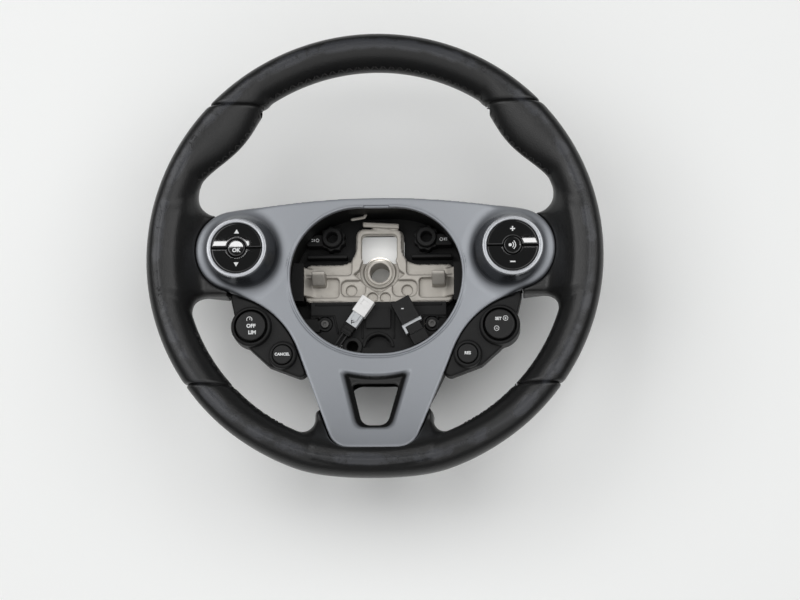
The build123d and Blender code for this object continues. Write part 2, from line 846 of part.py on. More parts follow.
def make_plugs():
    after_latch = white_length + latch_length
    after_lock = black_length + lock_length
    window = Pos(white_length / 3, 0, white_height) * Box(white_length / 3, white_width / 2, 2 * plug_window)
    return {
        "airbag_plug": white_place(plug_block(0, white_length, white_width, white_height) - window),
        "airbag_plug_latch": white_place(plug_block(white_length, latch_length, latch_width, latch_height)),
        "airbag_plug_boot": white_place(plug_block(after_latch, boot_length, boot_width, boot_height)),
        "airbag_leads": white_leads(),
        "horn_plug": black_place(plug_block(0, black_length, black_width, black_height)),
        "horn_plug_lock": black_place(plug_block(black_length, lock_length, lock_width, lock_height)),
        "horn_plug_cap": black_place(plug_block(after_lock, cap_length, cap_width, cap_height)),
        "horn_plug_tail": black_place(plug_block(after_lock + cap_length, tail_length, tail_width, tail_height)),
        "horn_lead": black_sleeve(),
    }


def build():
    room = bezel_room()
    armature = make_armature()
    brackets = both_sides(bracket_bar(slot_gap))
    inside = prism(offset(bay_outline(), liner_reach))
    cuts = liner_cuts(brackets)
    parts = {
        "armature": armature,
        "rim_foam": make_foam(armature, room),
        **make_leather(room),
        "bezel": make_bezel(),
        "rear_cover": make_cover(room, brackets),
        "bay_wall": make_wall(inside, cuts),
        "bay_floor": make_floor(inside, cuts),
        "bush_post_right": make_post(bush_x, inside),
        "bush_post_left": make_post(-bush_x, inside),
        "wiring_tray": make_tray(brackets),
        "airbag_bush_right": make_bush(bush_x, bush_y, bush_level),
        "airbag_bush_left": make_bush(-bush_x, bush_y, bush_level),
        "airbag_bush_lower": make_bush(bush_low_x, bush_low_y, bush_low_level),
        **make_plugs(),
    }
    switch = make_switch(room)
    rocker = make_rocker()
    button = make_button()
    parts["right_switch"], parts["left_switch"] = switch, mirrored(switch)
    parts["set_rocker"], parts["limit_rocker"] = rocker, mirrored(rocker)
    parts["resume_key"], parts["cancel_key"] = button, mirrored(button)
    base = make_base()
    parts["right_pod_base"], parts["left_pod_base"] = base, mirrored(base)
    for side, x in (("right", pod_x), ("left", -pod_x)):
        parts[side + "_upper_key"] = Pos(x, pod_y) * arc_key()
        parts[side + "_lower_key"] = Pos(x, pod_y) * Rot(0, 0, 180) * arc_key()
        parts[side + "_centre_key"] = Pos(x, pod_y) * centre_key()
    parts["switch_screws"] = Part(children=[screw(x, screw_y, bracket_level, screw_length)
                                            for x in (screw_x, -screw_x)])
    parts["cover_screws"] = Part(children=[screw(x, y, cover_recess, cover_screw_length, up=False)
                                           for x, y in cover_screw_places()])
    return parts


os.makedirs("parts", exist_ok=True)
lift = Pos(0, 0, -boss_rear)
for name, part in build().items():
    export_step(lift * part, os.path.join("parts", name + ".step"))
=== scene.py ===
import json
import math
from itertools import product

import bmesh
import bpy
import numpy as np
from mathutils import Matrix, Vector


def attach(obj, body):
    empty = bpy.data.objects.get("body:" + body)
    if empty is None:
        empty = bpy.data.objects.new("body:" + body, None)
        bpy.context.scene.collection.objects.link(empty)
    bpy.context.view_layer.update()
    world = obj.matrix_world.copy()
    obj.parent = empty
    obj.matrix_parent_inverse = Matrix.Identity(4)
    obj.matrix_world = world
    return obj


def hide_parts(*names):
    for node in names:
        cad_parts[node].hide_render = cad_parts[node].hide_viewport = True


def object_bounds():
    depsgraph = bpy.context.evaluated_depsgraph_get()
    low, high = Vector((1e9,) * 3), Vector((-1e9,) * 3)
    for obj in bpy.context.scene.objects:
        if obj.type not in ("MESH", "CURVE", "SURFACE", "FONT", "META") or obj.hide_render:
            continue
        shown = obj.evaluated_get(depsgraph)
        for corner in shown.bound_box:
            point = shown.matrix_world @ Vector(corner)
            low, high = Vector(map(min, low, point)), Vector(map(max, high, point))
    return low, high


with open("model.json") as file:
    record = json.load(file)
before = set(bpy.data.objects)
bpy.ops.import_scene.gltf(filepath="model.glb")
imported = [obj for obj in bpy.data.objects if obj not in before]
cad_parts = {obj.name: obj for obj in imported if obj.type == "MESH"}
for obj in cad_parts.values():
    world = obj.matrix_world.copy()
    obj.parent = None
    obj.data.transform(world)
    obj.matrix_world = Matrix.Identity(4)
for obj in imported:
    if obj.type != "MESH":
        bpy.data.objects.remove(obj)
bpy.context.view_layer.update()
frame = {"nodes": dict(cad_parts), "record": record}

# Shapes are worked out in millimetres about the rim's centre plane, and a level is a height
# from that plane. Finished pieces are in metres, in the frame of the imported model.
MM = 0.001
RIM_LEVEL = 94.0

CELLS = {
    "leather": (1.05, 1.6),
    "bezel": (0.9, 1.5),
    "switch": (0.65, 1.2),
    "hub": (0.65, 1.2),
    "keys": (0.45, 0.9),
    "bay": (0.6, 1.0),
}

# Rim: section, flat bottom, thumb grips, seams and worn fold, with angles in degrees from the top
RIM_RADIUS = 169.5
RIM_HALF_WIDTH = 14.6
RIM_INNER_WIDTH = 13.9
RIM_FRONT = 15.5
RIM_BACK = 17.0
CREST_SHIFT = 4.0
LOW_CREST_LOSS = 0.9
LOW_CREST_ANGLES = (135, 160)
FLAT_DROP = 3.0
FLAT_SPAN = 20.0
GRIP_REACH = 12.2
GRIP_START, GRIP_PEAK, GRIP_END = 33.0, 49.5, 66.0
GRIP_FULLNESS = 1.45
UPPER_SEAM = 124.5
LOWER_SEAM = -107.0
SEAM_ROLL = 3.2
SEAM_CORE = 2.2
SEAM_OVERRUN = 2.0
FOLD_ANGLES = (140, 158)
FOLD_LEVELS = (6, 13)
FOLD_PLACE = 1.5
FOLD_HALF = 1.8
FOLD_HEIGHT = 0.7

# Padded roots of the spokes
SIDE_ROOT = dict(start=120.0, top=36.3, low=-31.0, wall=156.0, narrow=0.0,
                 corners=(23.0, 17.5), back=(-38.0, -13.0))
LOW_ROOT = dict(start=120.0, top=47.5, low=-47.5, wall=155.0, narrow=4.5,
                corners=(15.0, 15.0), back=(-44.0, -16.0))
SIDE_ROOT_BLEND = 6.0
LOW_ROOT_BLEND = 5.0
ROOT_NECK = 9.0
ROOT_FALL = 13.0
ROOT_FALL_SPAN = (-0.2, 1.0)
ROOT_END = 160.0
ROOT_OVERRUN = 11.0
ROOT_FRONT = (-8.0, 13.5)
ROOT_RISE = (139.0, 164.0)
ROOT_EDGE = 6.0
ROOT_RIDGE = -8.0
ROOT_RIDGE_LEAN = 0.6
LEATHER_ROUND = 2.2

# Stitching along the inner edge of the rim
STITCH_ROWS = [(-66, 66), (114, 152), (-114, -152)]
STITCH_PITCH = 3.4
STITCH_LENGTH = 5.4
STITCH_LEAN = 58.0
STITCH_RISE = 0.1
STITCH_LEVEL = 2.6
STITCH_SEARCH = (-23.0, 7.0)
THREAD_THICKNESS = 0.95

# Bezel
BEZEL_TOP = 54.0
BEZEL_TIP = -157.3
BEZEL_TIP_HALF = 32.0
BEZEL_TIP_FILLET = 18.0
BEZEL_WAIST = (76.0, -43.0)
BEZEL_WAIST_FILLET = 70.0
BEZEL_WALL = 2.6
BEZEL_SKIRT = 5.0
BEZEL_SKIRT_HALF = 1.1
BEZEL_GAP = 0.4
BEZEL_ROUND = 3.6
DISH = [(40.0, -24.5), (110.0, -16.5), (163.0, 1.0)]
BAY_HALF = 70.5
BAY_MIDDLE = -11.0
BAY_UP = 56.0
BAY_DOWN = 66.0
LIP_HALF = 0.9
LIP_RISE = 0.6
LIP_DEPTH = 6.0
GROOVE_PLACE = 2.9
GROOVE_HALF = 0.7
GROOVE_DEPTH = 1.1
GROOVE_SPAN = (-15, -55)
NOTCH_HALF = 10.5
NOTCH_REACH = 2.0
NOTCH_DEPTH = 1.2

# Hole of the lower spoke and the funnel round it: top, half width there, low end, half width there
FUNNEL = (-89.3, 30.5, -141.5, 16.5)
FUNNEL_SAG = 4.4
FUNNEL_DEPTH = 8.0
FUNNEL_RUN = 5.0
HOLE = (-101.5, 19.0, -136.5, 10.0)
HOLE_CORNER = 7.0
HOLE_TOP_CORNER = 5.0
HOLE_ROOM = 4.5

# Key pods and their keys
POD = (112.0, 6.5)
POD_BASE_R = 34.5
POD_RING_R = 24.6
POD_HOLE_R = 21.0
POD_TOP = 1.0
POD_FOOT = 1.5
POD_FLARE = 1.5
POD_LEAN = 0.8
POD_BLEND = 8.0
KEY_TOP = 0.2
KEY_HEIGHT = 4.0
KEY_GAP = 0.4
KEY_SLIT = 0.8
KEY_ROUND = 0.9
CENTRE_KEY_R = 7.2
CENTRE_KEY_RISE = 0.8

# Lower switches, on the right side
SWITCH_POINTS = [(110, -20), (119.5, -28), (115.5, -45), (113.5, -60), (102, -73.5),
                 (86.5, -87.5), (60, -97.5), (52, -90), (66, -62), (84, -40)]
SWITCH_CORNER = 5.0
SWITCH_TOP = -20.0
SWITCH_FOOT = -36.0
SWITCH_ROOM = 2.3
LEAF_SEAM = -25.5
LEAF_SEAM_HALF = 0.45
LEAF_SEAM_DEPTH = 0.9
ROCKER = (101.0, -55.5)
ROCKER_CUP_R = 16.4
ROCKER_CUP_TOP = -14.0
ROCKER_HOLE_R = 13.6
ROCKER_FLOOR = -25.0
ROCKER_TOP = -12.6
HINGE_LUG_X = 3.9
HINGE_LUG_BOX = (1.1, 3.0, 0.3)
HINGE_LUG_LEVELS = (-26.0, -17.7)
HINGE_LEVEL = -20.5
HINGE_R = 1.85
HINGE_HALF = 6.75
BUTTON = (75.0, -79.0)
BUTTON_CUP_R = 11.2
BUTTON_CUP_TOP = -15.0
BUTTON_HOLE_R = 8.3
BUTTON_FLOOR = -22.0
BUTTON_TOP = -13.4
STEM_R = 1.9
STEM_LOW = -27.0
SWITCH_SCREW = (44.5, -46.3)
SWITCH_SCREW_R = 2.1
BRACKET_LEVEL = -58.0
EYE_R = 6.0
EYE_HALF = 1.5
STRAP_LEVEL = -59.5
STRAP_SPAN = (5.0, 46.0)
STRAP_RISE, STRAP_RUN = 25.0, 40.3
STRAP_BOX = (6.0, 1.6, 0.5)

# Cast hub: a box is its middle across and up, half its width and height, and its corner radius;
# a slab is its middle level and half its height
PLATE_TOP = -62.0
PLATE_LOW = -71.0
HUB_ARMS = (0.0, -10.5, 62.0, 16.5, 5.0)
HUB_FRAME = (0.0, 4.4, 19.0, 31.4, 6.0)
FLASH_HEIGHT = 0.3
FLASH_WAVES = [(1.7, 0.6), (0.83, -1.9)]
SHOULDER = (23.0, -3.7)
SHOULDER_HOLLOW = (4.5, 1.6)
DIAMOND_Y = -3.0
DIAMOND_HALVES = (21.0, 17.0)
DIAMOND_SLOPE = 12.0
DIAMOND_HOLLOW = (7.0, 1.6)
BOSS_WELL_R = 16.0
BOSS_WELL_HOLLOW = (10.5, 1.4)
# A hollow of the plate ends in its depth and its eased edge; before them is a box, or a round's
# middle and radius
HUB_POCKETS = [
    (49.0, -14.5, 15.5, 8.2, 3.0, 5.0, 1.4),
    (21.5, -15.0, 10.2, 6.8, 5.0, 4.0, 1.6),
    (0.0, 19.5, 14.7, 11.5, 4.0, 30.0, 1.6),
]
HUB_DIMPLES = [(23.3, -16.2, 4.4, 7.0, 1.2), (5.3, -23.2, 4.3, 3.0, 1.0)]
WEB_R = 18.5
WEB_SLAB = (-75.0, 2.5)
WEB_END = 8.0
BOSS_R = 13.4
BOSS_SLAB = (-82.5, 11.5)
BOSS_GROOVE = (11.2, 0.5)
BOSS_GROOVE_FLOOR = -72.0
BORE_R = 8.25
ARM_START = 54.0
ARM_SPAN = (50.0, 63.0)
ARM_PLACE = (-10.0, -70.0)
ARM_SLOPES = (0.119, 0.592)
ARM_BOX = (12.0, 2.9, 1.0)
HOOK_LUG = (50.0, -8.0, 5.6, 5.5, 1.5)
HOOK_LUG_TOP = -50.0
HOOK_SLOPE = 0.9
HOOK_SLOPE_PLACE = (-6.0, -51.0)
HOOK_SLOPE_SCALE = 0.74
FRAME_SKIRT = (0.0, 4.4, 20.1, 32.0, 6.0)
FRAME_SKIRT_HALF = 0.7
FRAME_SKIRT_SLAB = (-73.5, 3.5)
FRAME_SKIRT_LOW = 6.0
NUB = (0.0, -28.5, 3.6, 3.0, 1.0)
NUB_SLAB = (-65.5, 2.0)
TAB = (1.5, 38.4, 15.2, 2.1, 0.8)
TAB_SLAB = (-61.5, 1.6)
TAB_LEAN = 0.06
TAB_STEM = ((-4, 36.5, -64), (7, 36.2, -62.5), 1.4)
LUMPS = [(38.0, -11.0), (0.0, -23.5)]
LUMP_R = 4.4
LUMP_SLAB = (-73.7, 2.7)
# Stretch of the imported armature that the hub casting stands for
HUB_HALF = 62.5
HUB_UP = 40.0
HUB_DOWN = -26.5

# Fittings of the bay
BAY_FLOOR = -76.4
BAY_WALL_GAP = 1.7
UPPER_BUSH = (39.5, 28.4, -60.0)
POST_R = 8.4
COLLAR_R = 10.4
COLLAR_DROP = 4.5
PETALS = 9
PETAL_HEIGHT = 0.7
PAD_LEVEL = -63.0
PAD = (54.0, 26.5, 7.0, 5.0, 1.5)
LEDGE = (44.0, 13.0, 17.0, 1.6, 0.8)
LEDGE_DROP = 2.0
TRAY_TOP = -58.0
TRAY_RIBS = [((37, -39.3), (55, -39.3)), ((37, -39.3), (33.5, -54)),
             ((13, -30), (13, -58)), ((23, -30), (52, -30))]
TRAY_RIB_R = 0.9
HALF_ROUND_R = 10.5
HALF_ROUND_Y = -66.0
HALF_ROUND_RIM = (1.5, 1.3)
HALF_ROUND_RIM_HALF = 1.0
CUP = (0.0, 5.0, 12.5, 7.5, 2.0)
CUP_SLAB = (-62.5, 3.2)
CUP_FLOOR = -64.0
CLIP_LEVEL = -58.5
CLIP_POINTS = [(-22.5, 43), (-12.3, 44.8), (-11, 47.5)]
CLIP_R = 1.3
CLIP_HALF = 0.7

# Plugs: place of the mouth and the way it lies, in degrees
WHITE_PLUG = (-7.6, -27.0, 235.8)
BLACK_PLUG = (18.15, -28.3, -61.8)
PLUG_LEVEL = -55.0
BOOT_WRAP = (5.1, 3.5, 1.0)
BOOT_LIFT = 3.0
BOOT_SLAB = (30.5, 4.4)
BOOT_RIB_START = 26.0
BOOT_RIB_PITCH = 3.0
BOOT_RIB_HALF = 0.75
LOCK_END = (25.0, -7.6, 2.9, 1.1, 0.4)
LOCK_SLAB = (4.0, 4.0)
LATCH_TONGUE = (18.5, 0.0, 3.8, 2.6, 0.6)
LATCH_SLAB = (7.0, 1.0)
BLACK_PLUG_TOP = 10.0
LATCH_TOP = 7.0

# Print on the keys and in the bay
PRINT_GAP = 0.05
BAY_PRINT_GAP = 0.06
PRINT_HALF = 0.03
PRINT_BOLD = 0.04
ARC_KEY_MARK = 13.6


# Fields: signed distances in millimetres, minus inside
def smooth_min(a, b, reach):
    """The smaller of two fields, blended where they are nearer to each other than reach."""
    blend = np.maximum(reach - np.abs(a - b), 0) / reach
    return np.minimum(a, b) - blend * blend * reach / 4


def smooth_max(a, b, reach):
    return -smooth_min(-a, -b, reach)


def ease(value, low, high):
    """0 at low, 1 at high, smooth between."""
    share = np.clip((value - low) / (high - low), 0, 1)
    return share * share * (3 - 2 * share)


def layer(place, low, high):
    """Distance outside the stretch from low to high."""
    return np.maximum(place - high, low - place)


def slab(place, middle, half):
    """Distance outside a stretch about its middle."""
    return np.abs(place - middle) - half


def rounded_meet(a, b, radius):
    """What lies inside two fields, with a rounded edge where they meet."""
    a, b = a + radius, b + radius
    return np.hypot(np.maximum(a, 0), np.maximum(b, 0)) + np.minimum(np.maximum(a, b), 0) - radius


def rounded_box(across, along, half_across, half_along, radius):
    return rounded_meet(np.abs(across) - half_across, np.abs(along) - half_along, radius)


def box_at(x, y, middle_x, middle_y, *box):
    return rounded_box(x - middle_x, y - middle_y, *box)


def rod(x, y, z, start, end, radius):
    """Round bar with ball ends between two points."""
    run = np.array(end) - np.array(start)
    offset = [place - first for place, first in zip((x, y, z), start)]
    share = np.clip(sum(o * r for o, r in zip(offset, run)) / run.dot(run), 0, 1)
    return np.sqrt(sum((o - r * share)**2 for o, r in zip(offset, run))) - radius


def surface_net(values):
    """Closed quads round the minus side of a sampled field, one point in each crossed cell."""
    inside = values < 0
    size = np.array(values.shape) - 1
    corners = np.zeros(size, np.uint8)
    for i, j, k in product((0, 1), repeat=3):
        corners += inside[i:size[0] + i, j:size[1] + j, k:size[2] + k]
    cells = np.argwhere((corners > 0) & (corners < 8))
    index = np.full(size, -1, np.int64)
    index[tuple(cells.T)] = np.arange(len(cells))
    total, hits = np.zeros((len(cells), 3)), np.zeros(len(cells))
    steps = np.eye(3, dtype=int)
    for axis in range(3):
        others = [steps[k] for k in range(3) if k != axis]
        for p, q in product((0, 1), repeat=2):
            corner = p * others[0] + q * others[1]
            a = values[tuple((cells + corner).T)]
            b = values[tuple((cells + corner + steps[axis]).T)]
            crossed = (a < 0) != (b < 0)
            share = a[crossed] / (a[crossed] - b[crossed])
            total[crossed] += corner + share[:, None] * steps[axis]
            hits[crossed] += 1
    quads = []
    for axis in range(3):
        u, v = steps[(axis + 1) % 3], steps[(axis + 2) % 3]
        first = np.take(inside, range(size[axis]), axis)
        second = np.take(inside, range(1, size[axis] + 1), axis)
        edges = np.argwhere(first != second)
        kept = [(edges[:, k] > 0) & (edges[:, k] < size[k]) for k in range(3) if k != axis]
        edges = edges[kept[0] & kept[1]]
        ring = [index[tuple((edges - shift).T)] for shift in (u + v, v, 0 * u, u)]
        quad = np.stack(ring, axis=1)
        leaving = first[tuple(edges.T)]
        quads.append(np.where(leaving[:, None], quad, quad[:, ::-1]))
    return cells + total / hits[:, None], np.concatenate(quads)


def slope_of(field, points, gap=0.05):
    """Slope of a field at points, from its change over a small gap."""
    change = [field(*(points + gap * e).T) - field(*(points - gap * e).T) for e in np.eye(3)]
    return np.stack(change, axis=1) / (2 * gap)


def settle(field, points, reach, rounds=2, least_steep=0.05):
    """Slides points along the field's slope on to its zero surface."""
    for _ in range(rounds):
        slope = slope_of(field, points)
        steep = np.maximum((slope**2).sum(axis=1), least_steep)
        move = (field(*points.T) / steep)[:, None] * slope
        points = points - np.clip(move, -reach, reach)
    return points


def skin(field, low, high, step):
    """Points and quads of a field's zero surface inside a box."""
    axes = [np.arange(a, b + step, step) for a, b in zip(low, high)]
    x, y, z = axes[0][:, None, None], axes[1][None, :, None], axes[2][None, None, :]
    values = np.broadcast_to(field(x, y, z), [len(a) for a in axes])
    points, quads = surface_net(values)
    return settle(field, points * step + np.array(low), step / 2), quads


class PlanDistance:
    """Signed distance to a closed plan outline, looked up in a table of samples."""

    step = 0.5
    margin = 45.0
    past_last_cell = 1.001

    def __init__(self, outline):
        ring = np.array(outline)
        self.low = ring.min(axis=0) - self.margin
        count = np.ceil((ring.max(axis=0) + self.margin - self.low) / self.step).astype(int) + 2
        x = self.low[0] + self.step * np.arange(count[0])[:, None]
        y = self.low[1] + self.step * np.arange(count[1])[None, :]
        nearest = np.full(count, 1e9)
        crossings = np.zeros(count, bool)
        for (ax, ay), (bx, by) in zip(ring, np.roll(ring, -1, axis=0)):
            run_x, run_y = bx - ax, by - ay
            share = np.clip(((x - ax) * run_x + (y - ay) * run_y) / (run_x**2 + run_y**2), 0, 1)
            nearest = np.minimum(nearest, (x - ax - share * run_x)**2 + (y - ay - share * run_y)**2)
            if ay != by:
                crossings ^= ((ay > y) != (by > y)) & (x < ax + (y - ay) / (by - ay) * run_x)
        self.table = np.sqrt(nearest) * np.where(crossings, -1, 1)

    def __call__(self, x, y):
        end = np.array(self.table.shape) - self.past_last_cell
        u = np.clip((x - self.low[0]) / self.step, 0, end[0])
        v = np.clip((y - self.low[1]) / self.step, 0, end[1])
        i, j = u.astype(int), v.astype(int)
        p, q = u - i, v - j
        table = self.table
        near = table[i, j] * (1 - p) + table[i + 1, j] * p
        far = table[i, j + 1] * (1 - p) + table[i + 1, j + 1] * p
        return near * (1 - q) + far * q


def circle_through(a, b, c):
    """Centre and radius of the circle through three points."""
    (ax, ay), (bx, by), (cx, cy) = a, b, c
    d = 2 * (ax * (by - cy) + bx * (cy - ay) + cx * (ay - by))
    sums = [px * px + py * py for px, py in (a, b, c)]
    x = (sums[0] * (by - cy) + sums[1] * (cy - ay) + sums[2] * (ay - by)) / d
    y = (sums[0] * (cx - bx) + sums[1] * (ax - cx) + sums[2] * (bx - ax)) / d
    return (x, y), math.hypot(ax - x, ay - y)


def arc(a, b, c, count=40):
    """Points from a to c on the circle that also passes through b."""
    (x, y), radius = circle_through(a, b, c)
    turn = [math.atan2(p[1] - y, p[0] - x) for p in (a, b, c)]
    whole = (turn[2] - turn[0]) % (2 * math.pi)
    if (turn[1] - turn[0]) % (2 * math.pi) > whole:
        whole -= 2 * math.pi
    angles = [turn[0] + whole * k / count for k in range(count + 1)]
    return [(x + radius * math.cos(t), y + radius * math.sin(t)) for t in angles]


def rounded_corner(before, corner, after, radius):
    """Points of the fillet between two straight runs."""
    corner = Vector(corner)
    first, last = (Vector(before) - corner).normalized(), (Vector(after) - corner).normalized()
    half = first.angle(last) / 2
    reach = radius / math.tan(half)
    middle = corner + (first + last).normalized() * (radius / math.sin(half) - radius)
    return arc(corner + first * reach, middle, corner + last * reach, 16)


def bezel_outline():
    """Top edge, wing ends round the pods, waists and lower tip, all tangent to each other."""
    rise = BEZEL_TOP - POD[1]
    top_r = (POD[0]**2 + rise**2 - POD_BASE_R**2) / (2 * (rise - POD_BASE_R))
    lean = math.atan2(POD[0], POD[1] - (BEZEL_TOP - top_r))
    shoulder = (POD[0] + POD_BASE_R * math.sin(lean), POD[1] + POD_BASE_R * math.cos(lean))
    across, down = BEZEL_WAIST[0] - POD[0], BEZEL_WAIST[1] - POD[1]
    meet = math.atan2(down, across) + math.acos(POD_BASE_R / math.hypot(across, down))
    armpit = (POD[0] + POD_BASE_R * math.cos(meet), POD[1] + POD_BASE_R * math.sin(meet))
    tip = (BEZEL_TIP_HALF, BEZEL_TIP)
    half = arc((0, BEZEL_TOP), arc((-shoulder[0], shoulder[1]), (0, BEZEL_TOP), shoulder)[30], shoulder)
    half += arc(shoulder, (POD[0] + POD_BASE_R, POD[1]), armpit)[1:]
    half += rounded_corner(armpit, BEZEL_WAIST, tip, BEZEL_WAIST_FILLET)
    half += rounded_corner(BEZEL_WAIST, tip, (0, BEZEL_TIP), BEZEL_TIP_FILLET)
    return half + [(-x, y) for x, y in reversed(half[1:])]


bezel_edge = PlanDistance(bezel_outline())
dish_centre, dish_radius = circle_through(*DISH)


def dish(radius):
    """Level of the bezel's shallow dish at a distance from the column axis."""
    away = np.clip(radius - dish_centre[0], -dish_radius, dish_radius)
    return dish_centre[1] - np.sqrt(dish_radius**2 - away**2)


def taper(x, y, top, top_half, low, low_half):
    """Distance outside the two leaning sides and the low end of a trapezoid."""
    half = low_half + (top_half - low_half) * (y - low) / (top - low)
    lean = math.cos(math.atan2(top_half - low_half, top - low))
    return smooth_max((np.abs(x) - half) * lean, low - y, HOLE_CORNER)


def trapezoid(x, y, top, top_half, low, low_half):
    return smooth_max(taper(x, y, top, top_half, low, low_half), y - top, HOLE_TOP_CORNER)


def bay_edge(x, y):
    """Distance outside the bay's opening, an oval with a rounder upper part."""
    upper = np.hypot(np.maximum(np.abs(x) - BAY_HALF + BAY_UP, 0), y - BAY_MIDDLE) - BAY_UP
    lower = np.hypot(np.maximum(np.abs(x) - BAY_HALF + BAY_DOWN, 0), BAY_MIDDLE - y) - BAY_DOWN
    return np.where(y > BAY_MIDDLE, upper, lower)


def well_depth(x, y):
    """How far the face of the lower spoke sinks towards its hole: steep above, softly at the sides."""
    top, top_half = FUNNEL[:2]
    below = top - FUNNEL_SAG * (1 - (x / top_half)**2) - y
    inner = np.maximum(-taper(x, y, *FUNNEL), 0)
    outer = np.maximum(taper(x, y, *HOLE), 0)
    never_zero = 0.01
    return FUNNEL_DEPTH * ease(below, 0, FUNNEL_RUN) * ease(inner / (inner + outer + never_zero), 0, 1)


def pod_away(x, y):
    """Distance from the middle of the pod on the same side."""
    return np.hypot(np.abs(x) - POD[0], y - POD[1])


def pod_field(x, y, z):
    """A pod's flared stump, standing on the dish."""
    foot = dish(np.hypot(x, y)) - POD_FOOT
    share = np.clip((z - foot) / (POD_TOP - foot), 0, 1)
    flank = POD_RING_R + (POD_BASE_R - POD_RING_R) * (1 - share)**POD_FLARE
    stump = np.maximum((pod_away(x, y) - flank) * POD_LEAN, foot - z)
    return smooth_max(stump, z - POD_TOP, reach=1.0)


def bezel_field(x, y, z):
    """Dished shell with pods, skirt, bay lip with groove and notch, and the hole of the lower spoke."""
    plain, edge, bay = dish(np.hypot(x, y)), bezel_edge(x, y), bay_edge(x, y)
    face = plain - well_depth(x, y)
    body = smooth_min(layer(z, face - BEZEL_WALL, face), pod_field(x, y, z), POD_BLEND)
    skirt = np.maximum(slab(edge, -BEZEL_SKIRT_HALF, BEZEL_SKIRT_HALF), layer(z, plain - BEZEL_SKIRT, plain))
    body = smooth_max(np.minimum(body, skirt), edge, BEZEL_ROUND)
    lip = np.maximum(slab(bay, LIP_HALF, LIP_HALF), layer(z, plain - LIP_DEPTH, plain + LIP_RISE))
    body = smooth_min(body, lip, reach=0.8)
    groove_floor = plain - GROOVE_DEPTH * ease(y, *GROOVE_SPAN)
    body = np.maximum(body, -np.maximum(slab(bay, GROOVE_PLACE, GROOVE_HALF), groove_floor - z))
    body = smooth_max(body, -bay, reach=1.0)
    notch = np.maximum(slab(x, 0, NOTCH_HALF), slab(y - BAY_MIDDLE, BAY_UP, NOTCH_REACH))
    body = np.maximum(body, -np.maximum(notch, plain - NOTCH_DEPTH - z))
    body = smooth_max(body, POD_HOLE_R - pod_away(x, y), reach=0.8)
    return smooth_max(body, -trapezoid(x, y, *HOLE), reach=1.4)


def bezel_room(x, y, z, depth):
    """Space kept clear for the bezel: inside its outline, down to a depth under its dish."""
    return np.maximum(bezel_edge(x, y) - BEZEL_GAP, dish(np.hypot(x, y)) - depth - z)


# Padded rim
def clock_angle(x, y):
    """Degrees from the top of the rim, the same on both sides."""
    return np.degrees(np.arctan2(np.abs(x), y))


def rim_parts(x, y, z):
    """Place in the rim's section: across it from the leaning middle line, its width and its depth."""
    angle = clock_angle(x, y)
    span = np.where(angle < GRIP_PEAK, GRIP_PEAK - GRIP_START, GRIP_END - GRIP_PEAK)
    bulge = GRIP_REACH * np.maximum(1 - ((angle - GRIP_PEAK) / span)**2, 0)**GRIP_FULLNESS
    flat = FLAT_DROP * np.maximum(1 - ((180 - angle) / FLAT_SPAN)**2, 0)**2
    depth = np.where(z > 0, RIM_FRONT, RIM_BACK)
    lean = CREST_SHIFT * (1 - LOW_CREST_LOSS * ease(angle, *LOW_CREST_ANGLES))
    across = np.hypot(x, y) - RIM_RADIUS + flat - lean * z / depth
    return across, np.where(across < 0, RIM_INNER_WIDTH + bulge, RIM_HALF_WIDTH), depth


def rim_field(x, y, z):
    """The rim alone: an oval section, wider at the thumb grips."""
    across, width, depth = rim_parts(x, y, z)
    return (np.hypot(across / width, z / depth) - 1) * np.minimum(width, depth)


def root_field(out, side, z, start, top, low, wall, corners, back, narrow):
    """Leather-covered root of a spoke: out runs away from the hub, side across the spoke."""
    radius = np.hypot(out, side)
    middle, half = (top + low) / 2, (top - low) / 2
    corner = np.where(side > middle, *corners)
    turn = np.clip(radius - wall + corner, 0, corner)
    flare = corner - np.sqrt(corner**2 - turn**2)
    aside = np.abs(side - middle) - half + narrow * (1 - ease(out, start, start + ROOT_NECK))
    front = ROOT_FRONT[0] + (ROOT_FRONT[1] - ROOT_FRONT[0]) * ease(radius, *ROOT_RISE)
    front = front - ROOT_FALL * ease(aside / corner, *ROOT_FALL_SPAN)
    share = (out - start) / (ROOT_END - start)
    behind = back[0] + (back[1] - back[0]) * share
    body = rounded_meet(aside - flare, layer(z, behind, front), ROOT_EDGE)
    ridge = back[0] + (ROOT_RIDGE - back[0]) * np.clip(aside / corner, 0, 1)
    body = smooth_max(body, (ridge - z) * ROOT_RIDGE_LEAN, reach=4)
    return np.maximum(body, np.maximum(start - out, radius - ROOT_END - ROOT_OVERRUN))


def padded_field(x, y, z):
    """Rim and spoke roots in one, with a worn fold low down and room for the bezel."""
    body = rim_field(x, y, z)
    body = smooth_min(body, root_field(np.abs(x), y, z, **SIDE_ROOT), SIDE_ROOT_BLEND)
    body = smooth_min(body, root_field(-y, x, z, **LOW_ROOT), LOW_ROOT_BLEND)
    across = rim_parts(x, y, z)[0]
    fold = ease(clock_angle(x, y), *FOLD_ANGLES) * ease(z, *FOLD_LEVELS)
    body = body - FOLD_HEIGHT * fold * np.exp(-((across - FOLD_PLACE) / FOLD_HALF)**2)
    under = np.maximum(BEZEL_SKIRT, well_depth(x, y) + BEZEL_WALL) + BEZEL_GAP
    body = smooth_max(body, -bezel_room(x, y, z, under), LEATHER_ROUND)
    return np.maximum(body, HOLE_ROOM - trapezoid(x, y, *HOLE))


def panel_field(zone):
    """One sewn panel: the padded rim inside its zone, rolled in at the seams round a longer core."""
    def field(x, y, z):
        body, edge = padded_field(x, y, z), zone(x, y)
        core = np.maximum(body + SEAM_CORE, edge - SEAM_OVERRUN)
        return np.minimum(smooth_max(body, edge, SEAM_ROLL), core)
    return field


def top_zone(x, y):
    return UPPER_SEAM - y


def bottom_zone(x, y):
    return y - LOWER_SEAM


